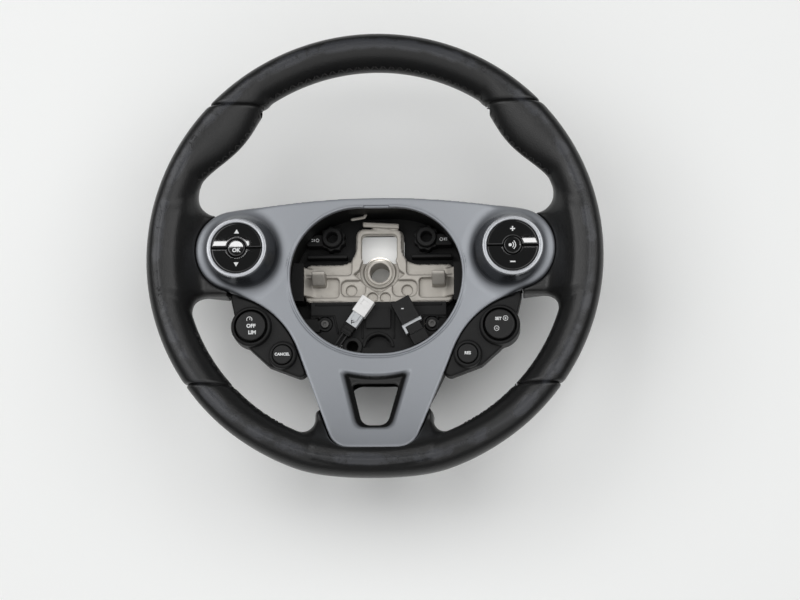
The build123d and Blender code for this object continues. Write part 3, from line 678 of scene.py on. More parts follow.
def side_zone(sign):
    """Zone between the seams on the right side, or on the left one with a minus sign."""
    def zone(x, y):
        return np.maximum(layer(y, LOWER_SEAM, UPPER_SEAM), -sign * x)
    return zone


# Lower switches
def rounded_outline(points, radius):
    """Closed outline through corner points, each corner with its fillet."""
    ring = []
    for k, corner in enumerate(points):
        ring += rounded_corner(points[k - 1], corner, points[(k + 1) % len(points)], radius)
    return ring


leaf_edge = PlanDistance(rounded_outline(SWITCH_POINTS, SWITCH_CORNER))


def bracket_field(x, y, z):
    """Bracket of a switch: an eye under the screw and a strap that rises to the rocker."""
    from_x, from_y = x - SWITCH_SCREW[0], y - SWITCH_SCREW[1]
    aim = (Vector(ROCKER) - Vector(SWITCH_SCREW)).normalized()
    along, beside = from_x * aim.x + from_y * aim.y, from_y * aim.x - from_x * aim.y
    rise = STRAP_LEVEL + (along - STRAP_SPAN[0]) * STRAP_RISE / STRAP_RUN
    strap = np.maximum(rounded_box(beside, z - rise, *STRAP_BOX), layer(along, *STRAP_SPAN))
    eye = np.maximum(np.hypot(from_x, from_y) - EYE_R, slab(z - BRACKET_LEVEL, -EYE_HALF, EYE_HALF))
    return np.minimum(strap, eye)


def switch_field(x, y, z):
    """Housing of a switch: leaf with its seam, cups of rocker and button, hinge lugs and bracket."""
    edge = leaf_edge(x, y)
    rocker, button = [np.hypot(x - px, y - py) for px, py in (ROCKER, BUTTON)]
    leaf = smooth_max(edge, layer(z, SWITCH_FOOT, SWITCH_TOP), reach=2.4)
    leaf = np.maximum(leaf, -np.maximum(slab(z, LEAF_SEAM, LEAF_SEAM_HALF), -edge - LEAF_SEAM_DEPTH))
    rocker_cup = smooth_max(rocker - ROCKER_CUP_R, layer(z, SWITCH_FOOT, ROCKER_CUP_TOP), reach=2.6)
    button_cup = smooth_max(button - BUTTON_CUP_R, layer(z, SWITCH_FOOT, BUTTON_CUP_TOP), reach=2.2)
    body = smooth_min(smooth_min(leaf, rocker_cup, reach=1.2), button_cup, reach=1.2)
    room = bezel_room(x, y, z, BEZEL_SKIRT + BEZEL_GAP)
    body = np.maximum(body, -np.minimum(room, bezel_edge(x, y) + SWITCH_ROOM))
    body = smooth_max(body, -np.maximum(rocker - ROCKER_HOLE_R, ROCKER_FLOOR - z), reach=0.8)
    body = smooth_max(body, -np.maximum(button - BUTTON_HOLE_R, BUTTON_FLOOR - z), reach=0.8)
    lugs = rounded_box(np.abs(x - ROCKER[0]) - HINGE_LUG_X, y - ROCKER[1], *HINGE_LUG_BOX)
    body = np.minimum(body, np.maximum(lugs, layer(z, *HINGE_LUG_LEVELS)))
    pin = np.maximum(np.hypot(y - ROCKER[1], z - HINGE_LEVEL) - HINGE_R, slab(x, ROCKER[0], HINGE_HALF))
    stem = np.maximum(button - STEM_R, STEM_LOW - z)
    body = np.maximum(np.maximum(body, -pin), -stem)
    body = np.minimum(body, bracket_field(x, y, z))
    return np.maximum(body, SWITCH_SCREW_R - np.hypot(x - SWITCH_SCREW[0], y - SWITCH_SCREW[1]))


# Cast hub of the armature
def hub_plate(x, y, z):
    """Plate of the hub with its ragged outline and its hollows."""
    ax = np.abs(x)
    waves = [np.sin(p * x + q * y) for p, q in FLASH_WAVES]
    plan = smooth_min(box_at(ax, y, *HUB_ARMS), box_at(ax, y, *HUB_FRAME), reach=16)
    plan = plan + FLASH_HEIGHT * waves[0] * waves[1]
    body = smooth_max(plan, layer(z, PLATE_LOW, PLATE_TOP), reach=2.0)
    shoulder = smooth_max(SHOULDER[1] - y, SHOULDER[0] - ax, reach=4)
    diamond = ax / DIAMOND_HALVES[0] + np.abs(y - DIAMOND_Y) / DIAMOND_HALVES[1] - 1
    hollows = [(shoulder, *SHOULDER_HOLLOW)]
    hollows += [(box_at(ax, y, *box), depth, edge) for *box, depth, edge in HUB_POCKETS]
    hollows += [(np.hypot(ax - px, y - py) - r, depth, edge) for px, py, r, depth, edge in HUB_DIMPLES]
    hollows.append((diamond * DIAMOND_SLOPE, *DIAMOND_HOLLOW))
    hollows.append((np.hypot(x, y) - BOSS_WELL_R, *BOSS_WELL_HOLLOW))
    for zone, depth, edge in hollows:
        body = smooth_max(body, -np.maximum(zone, PLATE_TOP - depth - z), edge)
    return body


def hub_field(x, y, z):
    """Cast hub: plate, boss on its web, roots of the arms, hook lugs, skirt of the frame and small lumps."""
    ax = np.abs(x)
    radius = np.hypot(x, y)
    body = hub_plate(x, y, z)
    web = np.maximum(smooth_max(radius - WEB_R, slab(z, *WEB_SLAB), reach=1.5), y - WEB_END)
    body = smooth_min(body, web, reach=1.5)
    boss = smooth_max(radius - BOSS_R, slab(z, *BOSS_SLAB), reach=1.2)
    body = smooth_min(body, boss, reach=0.8)
    body = smooth_max(body, -np.maximum(slab(radius, *BOSS_GROOVE), BOSS_GROOVE_FLOOR - z), reach=0.4)
    past = ax - ARM_START
    arm_y, arm_level = [place + past * slope for place, slope in zip(ARM_PLACE, ARM_SLOPES)]
    arm = np.maximum(rounded_box(y - arm_y, z - arm_level, *ARM_BOX), layer(ax, *ARM_SPAN))
    body = smooth_min(body, arm, reach=1.5)
    lug = smooth_max(box_at(ax, y, *HOOK_LUG), layer(z, PLATE_LOW, HOOK_LUG_TOP), reach=1.2)
    lug_slope = z - HOOK_SLOPE_PLACE[1] - HOOK_SLOPE * (y - HOOK_SLOPE_PLACE[0])
    lug = smooth_max(lug, lug_slope * HOOK_SLOPE_SCALE, reach=1.0)
    body = smooth_min(body, lug, reach=1.6)
    skirt = slab(box_at(ax, y, *FRAME_SKIRT), -FRAME_SKIRT_HALF, FRAME_SKIRT_HALF)
    skirt = np.maximum(skirt, slab(z, *FRAME_SKIRT_SLAB))
    body = np.minimum(body, np.maximum(skirt, FRAME_SKIRT_LOW - y))
    nub = smooth_max(box_at(x, y, *NUB), slab(z, *NUB_SLAB), reach=1.0)
    tab = smooth_max(box_at(x, y + TAB_LEAN * x, *TAB), slab(z, *TAB_SLAB), reach=0.8)
    body = smooth_min(smooth_min(body, nub, reach=1.0), tab, reach=0.8)
    body = smooth_min(body, rod(x, y, z, *TAB_STEM), reach=1.2)
    for lump_x, lump_y in LUMPS:
        lump = np.maximum(np.hypot(ax - lump_x, y - lump_y) - LUMP_R, slab(z, *LUMP_SLAB))
        body = np.minimum(body, lump)
    return np.maximum(body, BORE_R - radius)


# Pod keys, about the middle of their pod
def arc_key_field(x, y, z):
    """Upper key: half a ring with eased edges."""
    away = np.hypot(x, y)
    ring = np.maximum(away - POD_HOLE_R + KEY_GAP, CENTRE_KEY_R + KEY_GAP - away)
    half = smooth_max(ring, KEY_SLIT / 2 - y, reach=0.5)
    return smooth_max(half, layer(z, KEY_TOP - KEY_HEIGHT, KEY_TOP), KEY_ROUND)


def centre_key_field(x, y, z):
    """Round key that stands a little above the other two."""
    levels = layer(z, KEY_TOP - KEY_HEIGHT, KEY_TOP + CENTRE_KEY_RISE)
    return smooth_max(np.hypot(x, y) - CENTRE_KEY_R, levels, KEY_ROUND)


# Small mouldings in the bay
def seat_field(x, y, z):
    """Scalloped collars round the upper bushes, each with a ledge and a pad beside it."""
    ax = np.abs(x)
    bush_x, bush_y, level = UPPER_BUSH
    away = np.hypot(ax - bush_x, y - bush_y)
    petals = COLLAR_R + PETAL_HEIGHT * np.cos(PETALS * np.arctan2(y - bush_y, ax - bush_x))
    body = smooth_max(away - petals, z - level + COLLAR_DROP, reach=0.8)
    pad = smooth_max(box_at(ax, y, *PAD), z - PAD_LEVEL, reach=0.8)
    ledge = smooth_max(box_at(ax, y, *LEDGE), z - PAD_LEVEL + LEDGE_DROP, reach=0.8)
    body = np.minimum(np.minimum(body, pad), ledge)
    body = np.maximum(body, np.maximum(BAY_FLOOR - z, bay_edge(x, y) - BAY_WALL_GAP))
    return np.maximum(body, POST_R - away)


def rib_field(x, y, z):
    """Ribs of the wiring tray and the cup behind its half-round hole."""
    ax = np.abs(x)
    ribs = [rod(ax, y, z, (*start, TRAY_TOP), (*end, TRAY_TOP), TRAY_RIB_R) for start, end in TRAY_RIBS]
    away = np.hypot(x, y - HALF_ROUND_Y) - HALF_ROUND_R
    rim = np.maximum(slab(away, *HALF_ROUND_RIM), HALF_ROUND_Y - y)
    ribs.append(smooth_max(rim, slab(z, TRAY_TOP, HALF_ROUND_RIM_HALF), reach=0.6))
    cup = smooth_max(box_at(x, y - HALF_ROUND_Y, *CUP), slab(z, *CUP_SLAB), reach=0.5)
    ribs.append(np.maximum(cup, -np.maximum(away, CUP_FLOOR - z)))
    return np.minimum.reduce(np.broadcast_arrays(*ribs))


def clip_field(x, y, z):
    """Bent spring clip at the top of the bay."""
    first, bend, last = [(*point, CLIP_LEVEL) for point in CLIP_POINTS]
    strip = np.minimum(rod(x, y, z, first, bend, CLIP_R), rod(x, y, z, bend, last, CLIP_R))
    return smooth_max(strip, slab(z, CLIP_LEVEL, CLIP_HALF), reach=0.3)


def plug_place(plug, x, y):
    """Places along a plug from its mouth, and across it."""
    turn = math.radians(plug[2])
    along = (x - plug[0]) * math.cos(turn) + (y - plug[1]) * math.sin(turn)
    return along, (y - plug[1]) * math.cos(turn) - (x - plug[0]) * math.sin(turn)


def boot_field(x, y, z):
    """Ribs round the boot of the white plug."""
    along, across = plug_place(WHITE_PLUG, x, y)
    wrap = rounded_box(across, z - PLUG_LEVEL - BOOT_LIFT, *BOOT_WRAP)
    ribs = slab((along - BOOT_RIB_START) % BOOT_RIB_PITCH, BOOT_RIB_PITCH / 2, BOOT_RIB_HALF)
    return smooth_max(wrap, np.maximum(ribs, slab(along, *BOOT_SLAB)), reach=0.3)


def lock_field(x, y, z):
    """Bent end of the black plug's lock, and the tongue of the white plug's latch."""
    height = z - PLUG_LEVEL
    hook = box_at(*plug_place(BLACK_PLUG, x, y), *LOCK_END)
    tongue = box_at(*plug_place(WHITE_PLUG, x, y), *LATCH_TONGUE)
    return np.minimum(smooth_max(hook, slab(height, *LOCK_SLAB), reach=0.4),
                      smooth_max(tongue, slab(height, *LATCH_SLAB), reach=0.4))


# Shader values and materials
def feed(tree, node, sockets):
    """Links inputs of a node to other nodes' outputs, or sets them to plain values."""
    for name, value in sockets.items():
        source = getattr(value, "socket", value)
        if isinstance(source, bpy.types.NodeSocket):
            tree.links.new(source, node.inputs[name])
        else:
            node.inputs[name].default_value = value


def add_node(tree, kind, settings=None, sockets=None):
    """A new node of a tree, with its settings made first and then its inputs fed."""
    node = tree.nodes.new(kind)
    for name, value in (settings or {}).items():
        setattr(node, name, value)
    feed(tree, node, sockets or {})
    return node


class Value:
    """An output of a shader node: arithmetic on it adds Math nodes to its material."""

    def __init__(self, finish, socket):
        self.finish, self.socket = finish, socket

    def __add__(self, other):
        return self.finish.math("ADD", self, other)

    def __sub__(self, other):
        return self.finish.math("SUBTRACT", self, other)

    def __rsub__(self, other):
        return self.finish.math("SUBTRACT", other, self)

    def __mul__(self, other):
        return self.finish.math("MULTIPLY", self, other)

    __radd__ = __add__
    __rmul__ = __mul__


class Finish:
    """A material being made: constants go on its shader's own sockets, patterns through nodes."""

    def __init__(self, name, **constants):
        self.material = bpy.data.materials.new(name)
        self.material.use_nodes = True
        self.tree = self.material.node_tree
        self.shade(**constants)
        self.place = self.node("TexCoord", out="Object")

    def shade(self, **sockets):
        """Feeds the shader's inputs, named with low lines for spaces, and gives the material."""
        shader = self.tree.nodes["Principled BSDF"]
        feed(self.tree, shader, {name.replace("_", " "): value for name, value in sockets.items()})
        return self.material

    def node(self, kind, settings=None, sockets=None, out=0):
        return Value(self, add_node(self.tree, "ShaderNode" + kind, settings, sockets).outputs[out])

    def math(self, operation, *values):
        return self.node("Math", {"operation": operation}, dict(enumerate(values)))

    def noise(self, scale, detail=3.0, roughness=0.55, where=None):
        return self.node("TexNoise", None, {"Vector": where or self.place, "Scale": scale, "Detail": detail,
                                            "Roughness": roughness})

    def cells(self, scale):
        return self.node("TexVoronoi", None, {"Vector": self.place, "Scale": scale}, "Distance")

    def between(self, value, low, high):
        """0 below low, 1 above high, smooth between."""
        return self.node("MapRange", {"interpolation_type": "SMOOTHSTEP"},
                         {"Value": value, "From Min": low, "From Max": high})

    def mix(self, factor, first, second):
        return self.node("Mix", {"data_type": "RGBA"}, {0: factor, 6: first, 7: second}, 2)

    def attribute(self, name):
        return self.node("Attribute", {"attribute_name": name}, out="Fac")

    def stretched(self, x, y, z):
        return self.node("Mapping", None, {"Vector": self.place, "Scale": (x, y, z)})

    def bump(self, height, strength, distance):
        return self.node("Bump", None, {"Height": height, "Strength": strength, "Distance": distance})


def tone(value, warm=0.0):
    """A grey, redder with more warmth and bluer with less."""
    return (value * (1 + warm), value, value * (1 - warm), 1.0)


def leather_finish():
    made = Finish("worn_leather_with_painted_sheen", Specular_IOR_Level=0.42)
    crest_wear_and_sheen = made.attribute("crest")
    patchy = made.between(made.noise(38, 4.0, 0.6), 0.42, 0.68)
    rubbed_and_sheen = made.between(crest_wear_and_sheen * (patchy * 0.7 + 0.45), 0.25, 0.75)
    grain = made.cells(1050)
    pores = made.cells(2600)
    fine = made.noise(420, 2.0)
    around = made.noise(240, 3.0, 0.7)
    along = made.node("CombineXYZ", None, {"X": made.attribute("arc"), "Y": crest_wear_and_sheen * 0.012})
    lines = made.math("ABSOLUTE", made.noise(120, 2.0, 0.6, along) - 0.5)
    stretch = made.between(made.noise(16, 2.0, 0.5, along), 0.5, 0.58)
    ticks = (1 - made.between(lines, 0.004, 0.014)) * stretch
    cracked = ticks * made.between(crest_wear_and_sheen, 0.3, 0.7)
    base = made.mix(patchy * 0.35, tone(0.006), tone(0.010, 0.03))
    # Wear and painted sheen: the rubbed crest is painted a lighter bluish grey, for leather worn smooth and
    # for the light it catches.
    base = made.mix(rubbed_and_sheen * 0.8, base, (0.040, 0.042, 0.048, 1))
    base = made.mix(made.attribute("dust") * around, base, tone(0.03, 0.08))
    base = made.mix(cracked * 0.85, base, tone(0.004))
    shine = 0.31 - rubbed_and_sheen * 0.07 + (around - 0.5) * 0.12 + cracked * 0.3
    height = grain * (1 - rubbed_and_sheen * 0.75) + pores * 0.35 + fine * 0.4 - cracked * 3
    return made.shade(Base_Color=base, Roughness=shine, Normal=made.bump(height, 0.22, 0.0004))


def silver_finish():
    made = Finish("satin_silver", Specular_IOR_Level=0.5)
    flank, ring = made.attribute("flank"), made.attribute("ring")
    flake = made.noise(3800, 2.0, 0.7)
    cloud = made.noise(14, 3.0)
    nicks = made.attribute("edge") * made.between(made.noise(210, 4.0, 0.75), 0.6, 0.66)
    scuffs = made.between(made.noise(60, 5.0, 0.8, made.stretched(1, 6, 1)), 0.66, 0.74)
    base = made.mix(cloud * 0.4, (0.255, 0.268, 0.290, 1), (0.285, 0.300, 0.322, 1))
    base = made.mix((flake - 0.5) * 0.5 + 0.2, base, (0.350, 0.365, 0.392, 1))
    # Painted shade: the pods' flanks are darkened, most on the side towards the hub.
    base = made.mix(flank * 0.92, base, (0.026, 0.028, 0.032, 1))
    # Painted highlight: the tops of the pods' rings are painted lighter.
    base = made.mix(ring * 0.6, base, (0.52, 0.53, 0.55, 1))
    # Black paint of the inner frame in the funnel of the lower spoke, which also stands for painted shade
    # deep in its recess.
    base = made.mix(made.attribute("well"), base, tone(0.012))
    base = made.mix(nicks * 0.9, base, tone(0.08))
    shine = 0.34 + cloud * 0.08 + scuffs * 0.1 - flank * 0.14 - ring * 0.1
    return made.shade(Base_Color=base, Metallic=0.3 + flank * 0.3 + ring * 0.3, Roughness=shine,
                      Normal=made.bump(flake * 0.4 - nicks * 3, 0.12, 0.0003))


def plastic_finish(name, level, shine, grain=1500, strength=0.25, warm=0.0, dust=0.12, gleam=0.2):
    made = Finish(name, Specular_IOR_Level=gleam)
    texture = made.noise(grain, 3.0, 0.65)
    cloud = made.noise(24, 4.0, 0.6)
    settled = made.between(made.noise(300, 5.0, 0.7), 0.56, 0.72) * made.between(cloud, 0.45, 0.7)
    base = made.mix(cloud, tone(level * 0.82, warm), tone(level * 1.15, warm))
    base = made.mix(settled * dust, base, tone(0.06 + level, 0.04))
    return made.shade(Base_Color=base, Roughness=shine + (cloud - 0.5) * 0.12 + settled * 0.1,
                      Normal=made.bump(texture, strength, 0.0003))


def gloss_finish():
    made = Finish("gloss_black", Specular_IOR_Level=0.55)
    smear = made.noise(70, 4.0, 0.65)
    specks = made.between(made.noise(1600, 2.0), 0.74, 0.8)
    base = made.mix(specks * 0.5, tone(0.0055), tone(0.05))
    return made.shade(Base_Color=base, Roughness=0.006 + smear * 0.016 + specks * 0.25)


def casting_finish():
    made = Finish("cast_magnesium", Specular_IOR_Level=0.5)
    cloud = made.noise(46, 5.0, 0.62)
    sand = made.noise(1300, 3.0, 0.7)
    flow = made.noise(120, 4.0, 0.7, made.stretched(1, 3, 1))
    stain = made.between(made.noise(90, 5.0, 0.72), 0.58, 0.72)
    base = made.mix(cloud, (0.37, 0.345, 0.305, 1), (0.52, 0.495, 0.455, 1))
    base = made.mix(stain * 0.6, base, (0.27, 0.245, 0.21, 1))
    return made.shade(Base_Color=base, Metallic=0.55 - stain * 0.25, Roughness=0.42 + flow * 0.2,
                      Normal=made.bump(sand * 0.6 + flow, 0.28, 0.0005))


def steel_finish():
    made = Finish("blackened_steel", Metallic=0.9)
    turned = made.noise(900, 3.0, 0.6)
    base = made.mix(made.noise(150), tone(0.045), tone(0.11, 0.03))
    return made.shade(Base_Color=base, Roughness=0.34 + turned * 0.2, Normal=made.bump(turned, 0.1, 0.0002))


def thread_finish():
    made = Finish("waxed_thread")
    twist = made.noise(2400, 2.0)
    base = made.mix(twist, tone(0.012), tone(0.036, 0.03))
    return made.shade(Base_Color=base, Roughness=0.42 + twist * 0.2, Normal=made.bump(twist, 0.3, 0.0002))


def legend_finish():
    made = Finish("printed_white")
    fade = made.noise(900, 3.0)
    base = made.mix(fade, (0.62, 0.63, 0.63, 1), (0.8, 0.81, 0.81, 1))
    return made.shade(Base_Color=base, Roughness=0.45 + fade * 0.1)


# Pieces
SIDES = [("right", 1), ("left", -1)]
NODE_SLOTS = {part["node"]: part["material_slot"] for part in frame["record"]["subparts"]}


def cell(piece):
    """Cell size of a piece's skin in this run."""
    full, quick = CELLS[piece]
    return full


def add_object(name, data):
    obj = bpy.data.objects.new(name, data)
    bpy.context.scene.collection.objects.link(obj)
    return obj


def mesh_object(name, points, faces, smooth=True):
    """A mesh object from points in millimetres about the rim's centre plane."""
    world = (np.asarray(points) + (0, 0, RIM_LEVEL)) * MM
    mesh = bpy.data.meshes.new(name)
    mesh.from_pydata(world.tolist(), [], [list(face) for face in faces])
    if smooth:
        mesh.shade_smooth()
    return add_object(name, mesh)


def add_attribute(obj, name, values):
    mask = obj.data.attributes.new(name, "FLOAT", "POINT")
    mask.data.foreach_set("value", np.asarray(values, np.float32))


def finish_piece(obj, material, slot, body="wheel", replaces=()):
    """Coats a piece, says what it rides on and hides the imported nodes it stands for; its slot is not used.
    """
    obj.data.materials.clear()
    obj.data.materials.append(material)
    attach(obj, body)
    if replaces:
        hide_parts(*replaces)


def paint_nodes(finishes):
    """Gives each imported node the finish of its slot."""
    for node, obj in frame["nodes"].items():
        obj.data.materials.clear()
        obj.data.materials.append(finishes[NODE_SLOTS[node]])


def dress_leather(material):
    """Four sewn panels, with masks for the worn crest, which is also painted with sheen, the run of its
    cracks and dust.
    """
    panels = {
        "leather_top": (top_zone, (-152, 120, -20), (152, 188, 18)),
        "leather_right": (side_zone(1), (94, -112, -46), (188, 130, 18)),
        "leather_left": (side_zone(-1), (-188, -112, -46), (-94, 130, 18)),
        "leather_bottom": (bottom_zone, (-154, -188, -50), (154, -104, 18)),
    }
    crest_place, crest_half, crest_heights = 1.0, 5.5, (0.55, 0.95)
    dust_share, dust_depths = 0.25, (-4, 14)
    for node, (zone, low, high) in panels.items():
        points, quads = skin(panel_field(zone), low, high, cell("leather"))
        obj = mesh_object(node + "_panel", points, quads)
        x, y, z = points.T
        across = rim_parts(x, y, z)[0]
        # Crest mask: wear and painted sheen along the front of the rim.
        crest = np.exp(-((across - crest_place) / crest_half)**2) * ease(z / RIM_FRONT, *crest_heights)
        add_attribute(obj, "crest", crest)
        add_attribute(obj, "arc", np.arctan2(x, y) * RIM_RADIUS * MM)
        add_attribute(obj, "dust", dust_share * ease(-z, *dust_depths))
        finish_piece(obj, material, "leather", replaces=[node, "rim_foam"])


def dress_bezel(material):
    """The silver moulding, with masks for its well (black paint with painted shade), the pods' flanks
    (painted shade), their rings (painted highlight) and its worn edge.
    """
    points, quads = skin(bezel_field, (-150, -160, -36), (150, 57, 4), cell("bezel"))
    obj = mesh_object("bezel_face", points, quads)
    x, y, z = points.T
    away = pod_away(x, y)
    slope = slope_of(bezel_field, points)
    never_zero = 0.01
    facing_up = slope[:, 2] / np.maximum(np.linalg.norm(slope, axis=1), never_zero)
    outside_ring = ease(away, POD_RING_R - 1.5, POD_RING_R + 0.5)
    near_pod = outside_ring * (1 - ease(away, POD_BASE_R, POD_BASE_R + 9))
    # Painted shade on the flanks: steeper parts, and parts on the side towards the hub, are darker.
    towards_hub = (0.8 * (POD[0] - np.abs(x)) - 0.6 * (y - POD[1])) / np.maximum(away, 1)
    shaded = 0.4 + 0.6 * ease(towards_hub, -0.6, 0.4)
    # Painted highlight on the top of each pod's ring.
    on_ring = 1 - ease(away, POD_RING_R, POD_RING_R + 1.5)
    near_tip = ease(-y, 110, 150)
    # Masks: well is black paint with painted shade, flank is painted shade, ring is painted highlight, edge
    # is wear.
    masks = {
        "well": ease(well_depth(x, y), 1.0, 4.6) * (np.abs(x) < 40),
        "flank": near_pod * (1 - ease(facing_up, 0.6, 0.99)) * shaded,
        "ring": on_ring * ease(z, POD_TOP - 3, POD_TOP - 1),
        "edge": ease(bezel_edge(x, y), -1.6, -0.3) * (0.25 + 0.75 * near_tip),
    }
    for name, values in masks.items():
        add_attribute(obj, name, values)
    finish_piece(obj, material, "silver", replaces=["bezel"])


def dress_switches(material):
    """Both switch housings, the left one mirrored."""
    points, quads = skin(switch_field, (36, -101, -64), (122, -16, -12), cell("switch"))
    for side, sign in SIDES:
        faces = quads if sign > 0 else quads[:, ::-1]
        obj = mesh_object(side + "_switch_housing", points * (sign, 1, 1), faces)
        finish_piece(obj, material, "switch_black", replaces=[side + "_switch"])


def dress_hub(material):
    """The hub casting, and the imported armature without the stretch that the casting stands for."""
    points, quads = skin(hub_field, (-66, -34, -96), (66, 44, -48), cell("hub"))
    hub = mesh_object("hub_casting", points, quads)
    finish_piece(hub, material, "casting", replaces=["armature"])
    mesh = frame["nodes"]["armature"].data.copy()
    arms = add_object("armature_arms", mesh)
    work = bmesh.new()
    work.from_mesh(mesh)
    bmesh.ops.remove_doubles(work, verts=work.verts, dist=0.01 * MM)
    cuts = [((HUB_HALF, 0, 0), (1, 0, 0)), ((-HUB_HALF, 0, 0), (-1, 0, 0)), ((0, HUB_DOWN, 0), (0, 1, 0))]
    for place, normal in cuts:
        bmesh.ops.bisect_plane(work, geom=work.verts[:] + work.edges[:] + work.faces[:],
                               plane_co=Vector(place) * MM, plane_no=normal)
    middle = []
    for face in work.faces:
        x, y, _ = face.calc_center_median()
        if abs(x) < HUB_HALF * MM and HUB_DOWN * MM < y < HUB_UP * MM:
            middle.append(face)
    bmesh.ops.delete(work, geom=middle, context="FACES")
    work.to_mesh(mesh)
    work.free()
    finish_piece(arms, material, "casting", replaces=["armature"])


def dress_keys(material):
    """Caps of the six pod keys: a lower key is the upper one turned half round."""
    below, above, room = 1, 2, 9
    low, high = KEY_TOP - KEY_HEIGHT - below, KEY_TOP + above
    arc_key = skin(arc_key_field, (-POD_HOLE_R, -below, low), (POD_HOLE_R, POD_HOLE_R, high), cell("keys"))
    centre_key = skin(centre_key_field, (-room, -room, low), (room, room, high), cell("keys"))
    caps = [("upper", arc_key, 1), ("lower", arc_key, -1), ("centre", centre_key, 1)]
    for side, sign in SIDES:
        for name, (points, quads), turn in caps:
            node = f"{side}_{name}_key"
            placed = points * (turn, turn, 1) + (sign * POD[0], POD[1], 0)
            finish_piece(mesh_object(node + "_cap", placed, quads), material, "gloss_black", node, [node])


def fit_bay(finishes):
    """Small mouldings and the clip seen in the open bay."""
    pieces = {
        "bush_seats": (seat_field, (-66, 8, -78), (66, 42, -61), "black_plastic"),
        "tray_ribs": (rib_field, (-58, -72, -67), (58, -27, -55), "black_plastic"),
        "spring_clip": (clip_field, (-26, 40, -62), (-8, 50, -55), "casting"),
        "boot_ribs": (boot_field, (-36, -64, -57), (-14, -42, -47), "plug_black"),
        "plug_lock_ends": (lock_field, (-26, -60, -57), (30, -34, -45), "plug_lock"),
    }
    for name, (field, low, high, slot) in pieces.items():
        points, quads = skin(field, low, high, cell("bay"))
        finish_piece(mesh_object(name, points, quads), finishes[slot], slot)


# Stitching along the inner edge of the rim
def seam_points(start, end):
    """Stitch places along the inner edge between two clock angles, each with its way along and out."""
    inner_r = RIM_RADIUS - RIM_HALF_WIDTH
    count = int(math.radians(abs(end - start)) * inner_r / STITCH_PITCH)
    angles = np.radians(np.linspace(start, end, count))
    outward = np.stack([np.sin(angles), np.cos(angles), np.zeros(count)], axis=1)
    lift = np.array((0, 0, STITCH_LEVEL))
    low, high = [np.full(count, inner_r + reach) for reach in STITCH_SEARCH]
    halvings = 24
    for _ in range(halvings):
        middle = (low + high) / 2
        clear = padded_field(*(outward * middle[:, None] + lift).T) > 0
        low, high = np.where(clear, middle, low), np.where(clear, high, middle)
    points = outward * low[:, None] + lift
    normal = slope_of(padded_field, points)
    normal /= np.linalg.norm(normal, axis=1)[:, None]
    along = np.gradient(points, axis=0)
    along /= np.linalg.norm(along, axis=1)[:, None]
    return points, along, normal


def stitch_tree():
    """Lays one oval stitch on each point, turned along it and standing out of the leather."""
    tree = bpy.data.node_groups.new("stitch_row", "GeometryNodeTree")
    face = tree.interface
    face.new_socket("Geometry", in_out="INPUT", socket_type="NodeSocketGeometry")
    for name in ("Stitch Length", "Thread Thickness"):
        face.new_socket(name, in_out="INPUT", socket_type="NodeSocketFloat")
    face.new_socket("Thread", in_out="INPUT", socket_type="NodeSocketMaterial")
    face.new_socket("Geometry", in_out="OUTPUT", socket_type="NodeSocketGeometry")

    def add(kind, sockets=None, **settings):
        """Outputs of a new node."""
        return add_node(tree, kind, settings, sockets).outputs

    given = add("NodeGroupInput")
    ball = add("GeometryNodeMeshUVSphere", {"Segments": 6, "Rings": 6, "Radius": 0.5})
    size = add("ShaderNodeCombineXYZ", {"X": given["Stitch Length"], "Y": given["Thread Thickness"],
                                        "Z": given["Thread Thickness"]})
    oval = add("GeometryNodeTransform", {"Geometry": ball["Mesh"], "Scale": size["Vector"]})
    turned = {}
    for name, axis, pivot in (("along", "X", "AUTO"), ("out", "Z", "X")):
        read = add("GeometryNodeInputNamedAttribute", {"Name": name}, data_type="FLOAT_VECTOR")
        turn = add("FunctionNodeAlignRotationToVector", {"Vector": read["Attribute"], **turned},
                   axis=axis, pivot_axis=pivot)
        turned = {"Rotation": turn["Rotation"]}
    laid = add("GeometryNodeInstanceOnPoints",
               {"Points": given["Geometry"], "Instance": oval["Geometry"], **turned})
    real = add("GeometryNodeRealizeInstances", {"Geometry": laid["Instances"]})
    coat = add("GeometryNodeSetMaterial", {"Geometry": real["Geometry"], "Material": given["Thread"]})
    add("NodeGroupOutput", {"Geometry": coat["Geometry"]})
    return tree


def run_tree(obj, tree, values):
    """Applies a node tree to an object, which keeps the plain mesh it gives."""
    modifier = obj.modifiers.new(tree.name, "NODES")
    modifier.node_group = tree
    for item in tree.interface.items_tree:
        if item.in_out == "INPUT" and item.name in values:
            modifier[item.identifier] = values[item.name]
    bpy.context.view_layer.update()
    shown = obj.evaluated_get(bpy.context.evaluated_depsgraph_get())
    mesh = bpy.data.meshes.new_from_object(shown)
    obj.modifiers.clear()
    obj.data = mesh


def sew_rim(material):
    """Zigzag stitches along the open stretches of the rim's inner edge."""
    lean = math.radians(STITCH_LEAN)
    places, ways, outs = [], [], []
    for start, end in STITCH_ROWS:
        points, along, normal = seam_points(start, end)
        across = np.cross(normal, along)
        turn = np.where(np.arange(len(points)) % 2, lean, -lean)[:, None]
        places.append(points + normal * STITCH_RISE)
        ways.append(along * np.cos(turn) + across * np.sin(turn))
        outs.append(normal)
    obj = mesh_object("rim_stitching", np.concatenate(places), [])
    for name, values in (("along", ways), ("out", outs)):
        vectors = obj.data.attributes.new(name, "FLOAT_VECTOR", "POINT")
        vectors.data.foreach_set("vector", np.concatenate(values).astype(np.float32).ravel())
    run_tree(obj, stitch_tree(), {"Stitch Length": STITCH_LENGTH * MM,
                                  "Thread Thickness": THREAD_THICKNESS * MM, "Thread": material})
    obj.data.shade_smooth()
    finish_piece(obj, material, "leather")


